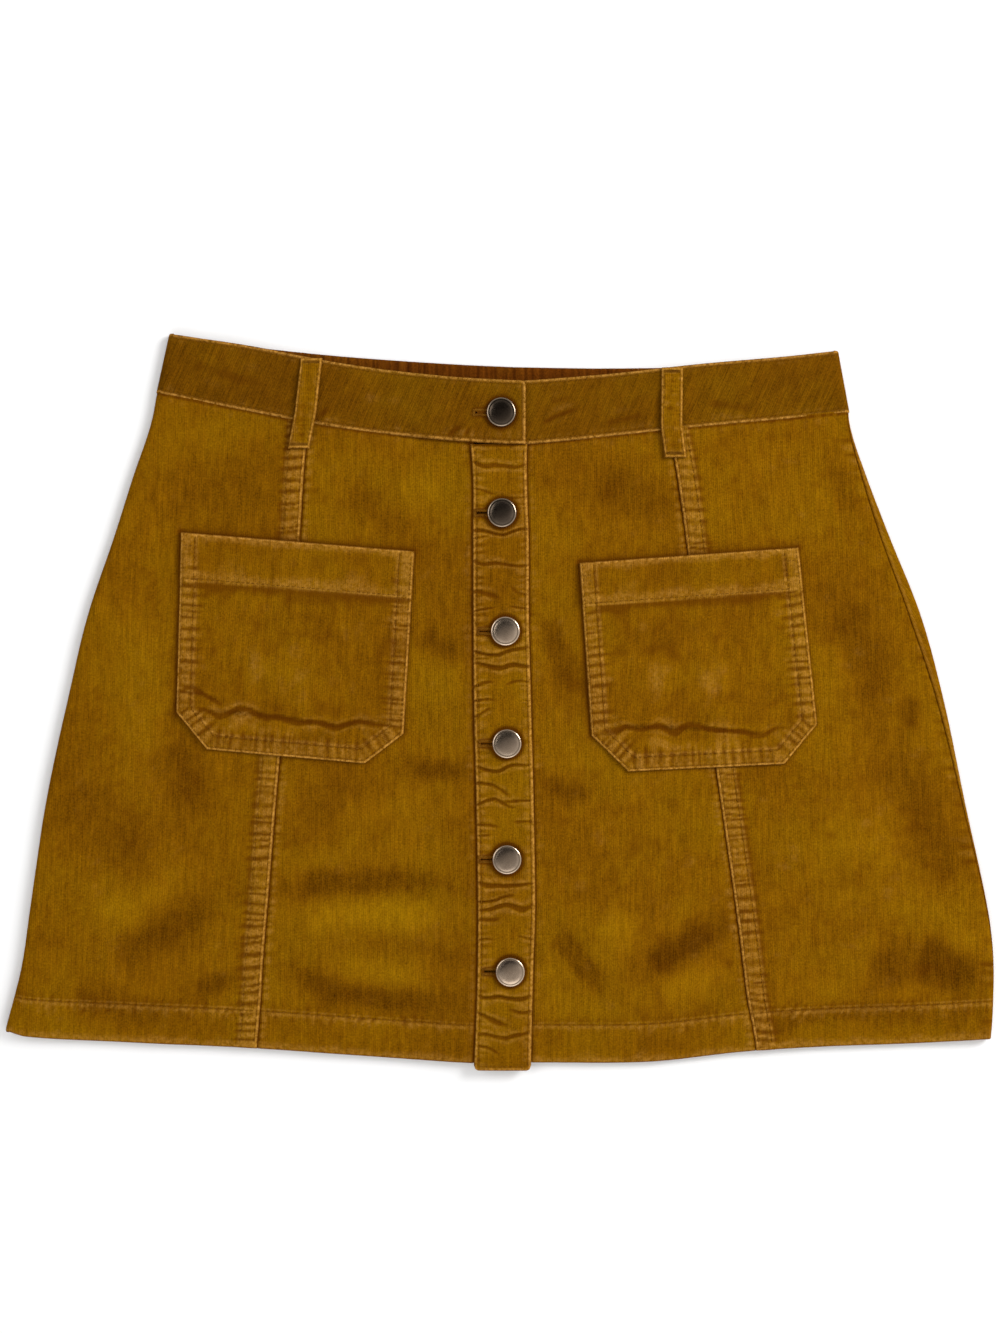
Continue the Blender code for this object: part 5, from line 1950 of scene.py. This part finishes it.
@dataclass
class Studio:
    """A pale floor, soft lights and the camera straight above."""

    view_centre: tuple[float, float] = (0.3, 20.4)
    view_height: float = 766.5
    lens: float = 50.0
    sensor: float = 36.0
    floor_grey: float = 0.88
    ceiling: tuple[float, ...] = (0.30, 0.285, 0.27, 1.0)
    walls: tuple[float, ...] = (0.62, 0.62, 0.62, 1.0)

    def build(self) -> None:
        """Makes the floor, the lights and the camera."""
        bpy.ops.object.select_all(action="DESELECT")
        bpy.ops.mesh.primitive_plane_add(size=8.0, location=(0.0, 0.0, -0.0004))
        floor = bpy.context.active_object
        floor.name = "floor"
        floor.data.materials.append(finish_material(Plain("pale_floor", self.floor_grey)))
        floor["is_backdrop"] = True
        self._lamp("key", (1.25, 0.75, 0.95), 0.75, 26.5)
        self._lamp("fill", (-1.2, 0.5, 1.3), 1.2, 9.0)
        self._lamp("front", (0.1, -1.5, 1.2), 1.4, 8.0)
        bpy.context.scene.world = self._sky()
        bpy.context.scene.view_settings.view_transform = "Standard"
        distance = self.view_height * self.lens / self.sensor * MM
        x, y = (place * MM for place in self.view_centre)
        bpy.ops.object.camera_add(location=(x, y, 0.006 + distance), rotation=(0.0, 0.0, 0.0))
        camera = bpy.context.active_object
        camera.data.lens = self.lens
        camera.data.sensor_width = self.sensor
        bpy.context.scene.camera = camera

    def _sky(self) -> bpy.types.World:
        """A pale room whose ceiling straight above is darker, which the buttons reflect."""
        world = bpy.data.worlds.new("studio")
        world.use_nodes = True
        build = GroupBuilder(world.node_tree)
        parts = build.node("ShaderNodeSeparateXYZ")
        build.feed(build.node("ShaderNodeTexCoord").outputs["Generated"], parts.inputs[0])
        x, y, z = parts.outputs
        tone = build.blend(build.remap(z, 0.80, 0.995, 0.0, 1.0), self.walls, self.ceiling)
        slant = build.math("MULTIPLY_ADD", x, 0.45, build.times(y, -0.9))
        aside = build.remap(slant, -0.15, 0.17, 0.05, 1.72)
        shade = build.math("MAXIMUM", aside, build.remap(z, 0.80, 0.90, 1.0, 0.0))
        inputs = world.node_tree.nodes["Background"].inputs
        build.fill(inputs, Color=build.lit(tone, shade), Strength=0.85)
        return world

    def _lamp(self, name: str, place: tuple[float, float, float], size: float, power: float) -> None:
        """A square soft light that faces the skirt."""
        bpy.ops.object.light_add(type="AREA", location=place)
        lamp = bpy.context.active_object
        lamp.name = name
        lamp.data.size = size
        lamp.data.energy = power
        lamp.rotation_mode = "QUATERNION"
        lamp.rotation_quaternion = (-Vector(place)).to_track_quat("-Z", "Y")


@dataclass
class Skirt:
    """The whole skirt: its cloth, its buttons and its stitching."""

    cloth: dict[str, Item] = field(default_factory=dict)

    def build(self) -> None:
        """Makes every piece in order."""
        for piece in self.pieces():
            self.cloth[piece.node] = piece.build()
        for number, place in enumerate(BUTTONS, 1):
            TackButton(number, place).build()
        self.sew()

    def pieces(self) -> list[ClothPiece]:
        """The cloth pieces, with the size in metres that each is cut to, its area and its seed."""
        look = ClothFinish
        on_back, on_band = ("back_panel_cloth",), ("waistband_back_cloth",)
        on_left, on_right = ("front_centre_left_cloth",), ("front_centre_right_cloth",)
        loop_left, loop_right = ("waistband_left_cloth",), ("waistband_right_cloth",)
        return [
            BackPanel("back_panel", look.BACK, (0.585, 0.378), 0.190, (), 3),
            SidePanel("front_side_left", look.PANEL_LEFT, (0.185, 0.375), 0.0455, on_back, 5, -1),
            CentrePanel("front_centre_left", look.PANEL, (0.130, 0.365), 0.040, on_back, 7, -1),
            CentrePanel("front_centre_right", look.PANEL, (0.137, 0.365), 0.0385, on_back, 9, 1),
            SidePanel("front_side_right", look.PANEL_RIGHT, (0.175, 0.370), 0.045, on_back, 13, 1),
            Placket("placket_under", look.PLACKET, (0.033, 0.356), None, on_back, 15, False),
            Placket("placket_upper", look.PLACKET, (0.034, 0.360), None, ("placket_under_cloth",), 17),
            BackBand("waistband_back", look.BACK_BAND, (0.400, 0.037), None, (), 19),
            FrontBand("waistband_left", look.BAND, (0.216, 0.037), None, on_band, 21, -1),
            FrontBand("waistband_right", look.BAND, (0.217, 0.037), None, on_band, 25, 1),
            PatchPocket("pocket_left", look.POCKET, (0.134, 0.124), 0.0158, on_left, 27, POCKETS[0]),
            PatchPocket("pocket_right", look.POCKET, (0.132, 0.122), 0.0153, on_right, 29, POCKETS[1]),
            BeltLoop("belt_loop_left", look.LOOP, (0.0124, 0.053), None, loop_left, 31, BELT_LOOPS[0]),
            BeltLoop("belt_loop_right", look.LOOP, (0.0124, 0.052), None, loop_right, 33, BELT_LOOPS[1]),
        ]

    def sew(self) -> None:
        """Stitches every row."""
        maker = StitchMaker()
        heights = np.linspace(-196.0, 150.0, 90)
        for side, name in ((-1, "left"), (1, "right")):
            seam = LAYOUT.seam(side, heights)
            rows = [running_row(Line(stacked(seam + side * out, heights))) for out in (SEAM_ROW, SEAM_BAND)]
            rows.append(self.hem_row(-280.0, -141.0) if side < 0 else self.hem_row(150.0, 279.0))
            maker.sew(f"stitches_side_{name}", self.cloth[f"front_side_{name}"], rows)
            rows = [self.hem_row(-140.0, -15.0) if side < 0 else self.hem_row(19.0, 148.0)]
            maker.sew(f"stitches_centre_{name}", self.cloth[f"front_centre_{name}"], rows)
            maker.sew(f"stitches_band_{name}", self.cloth[f"waistband_{name}"], self.band_rows(side))
        maker.sew("stitches_placket", self.cloth["placket_upper"], self.placket_rows())
        for shapes, make_rows in ((POCKETS, self.pocket_rows), (BELT_LOOPS, self.loop_rows)):
            for shape in shapes:
                maker.sew(f"stitches_{shape.name}", self.cloth[shape.name], make_rows(shape))

    def hem_row(self, first: float, last: float) -> StitchRow:
        """The hem's row of stitches between two places across."""
        x = np.linspace(first, last, 60)
        return running_row(Line(stacked(x, LAYOUT.hem(x) + HEM_LINE)))

    def band_rows(self, side: int) -> list[StitchRow]:
        """The rows along a front band's foot, top and end."""
        end = float(LAYOUT.band_share(OVERLAP_END - 1.0 if side < 0 else OVERLAP_END + 2.0))
        shares = np.linspace(0.004, end, 80) if side < 0 else np.linspace(end, 0.996, 80)
        levels = BAND_TOP_ROW / BAND_DEPTH, 1 - BAND_FOOT_ROW / BAND_DEPTH
        rows = [running_row(Line(stacked(*LAYOUT.band_point(shares, v)))) for v in levels]
        if side < 0:
            x = OVERLAP_END - BAND_END_ROW
            rows += [running_row(Line([(x, 150.8), (x, 183.0)])), *buttonhole_rows(BUTTONS[0])]
        return rows

    def placket_rows(self) -> list[StitchRow]:
        """The rows down the placket's edges, across its foot and round its buttonholes."""
        heights = np.linspace(-209.0, 146.0, 90)
        rows = [
            running_row(Line(stacked(LAYOUT.placket(-1, heights) + PLACKET_LEFT_ROW, heights))),
            running_row(Line(stacked(LAYOUT.placket(1, heights) - PLACKET_RIGHT_ROW, heights))),
            running_row(Line([(-12.0, -209.4), (16.0, -209.4)])),
        ]
        for place in BUTTONS[1:]:
            rows += buttonhole_rows(place)
        return rows

    def pocket_rows(self, shape: PocketShape) -> list[StitchRow]:
        """The two rows round a pocket, the row of its hem and the tacks at its top corners."""
        rows = [running_row(inset_line(shape.corners, inward)) for inward in (POCKET_ROW, POCKET_BAND)]
        x = np.array([shape.top_left[0] + 2.5, shape.top_right[0] - 4.0])
        rows.append(running_row(Line(stacked(x, shape.top(x) - shape.hem_depth + POCKET_HEM_ROW))))
        for corner, way in ((shape.top_left, 1.0), (shape.top_right, -1.0)):
            start = (corner[0] + way * 1.4, corner[1] - 7.5)
            finish = (start[0] + way * 7.0, start[1] + shape.slope * way * 7.0)
            rows.append(running_row(Line([start, finish])))
        return rows

    def loop_rows(self, shape: LoopShape) -> list[StitchRow]:
        """The two rows along a loop and its bar tacks."""
        inset = LOOP_WIDTH / 2 - 1.6
        rows = [running_row(shape.middle.shifted(way * inset), skip=2.0) for way in (-1.0, 1.0)]
        for (x, y), lift in ((shape.end, 2.4), (shape.top, -2.4)):
            rows.append(bar_tack(Line([(x - 4.6, y + lift), (x + 4.6, y + lift)]), 0.9, 0.6))
        return rows


def inset_line(corners: tuple, inward: float) -> Line:
    """A line of corners moved inwards by a distance from each of its sides."""
    points = np.array(corners, float)
    centre = np.mean(points, axis=0)
    moved = []
    for start, end in zip(points, points[1:]):
        run = (end - start) / np.linalg.norm(end - start)
        normal = np.array([-run[1], run[0]])
        normal *= np.sign(normal @ (centre - start))
        moved.append((start + normal * inward, run))
    made = [moved[0][0]]
    for (first, ahead), (second, after) in zip(moved, moved[1:]):
        gap = second - first
        cross = ahead[0] * after[1] - ahead[1] * after[0]
        made.append(first + ahead * (gap[0] * after[1] - gap[1] * after[0]) / cross)
    last, run = moved[-1]
    made.append(last + run * np.linalg.norm(points[-1] - points[-2]))
    return Line(made)


def buttonhole_rows(place: ButtonPlace) -> list[StitchRow]:
    """The close stitches round a buttonhole's slit and across its end."""
    far, near = place.x - BUTTONHOLE_REACH, place.x - 6.0
    rows = []
    for y in (place.y - 1.45, place.y + 1.45):
        rows.append(bar_tack(Line([(far + 0.4, y), (near, y)]), 0.75, 0.5))
    rows.append(bar_tack(Line([(far - 0.5, place.y - 2.0), (far - 0.5, place.y + 2.0)]), 0.8, 0.5))
    return rows


def write_sizes() -> None:
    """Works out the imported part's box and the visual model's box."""
    boxes = {"cad": CAD_BOX, "visual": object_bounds()}
    plain = {name: [list(corner) for corner in box] for name, box in boxes.items()}


def main() -> None:
    """Builds the skirt and its studio."""
    logging.basicConfig(level=logging.INFO, format="%(message)s")
    Skirt().build()
    Studio().build()
    write_sizes()


if __name__ == "__main__":
    main()
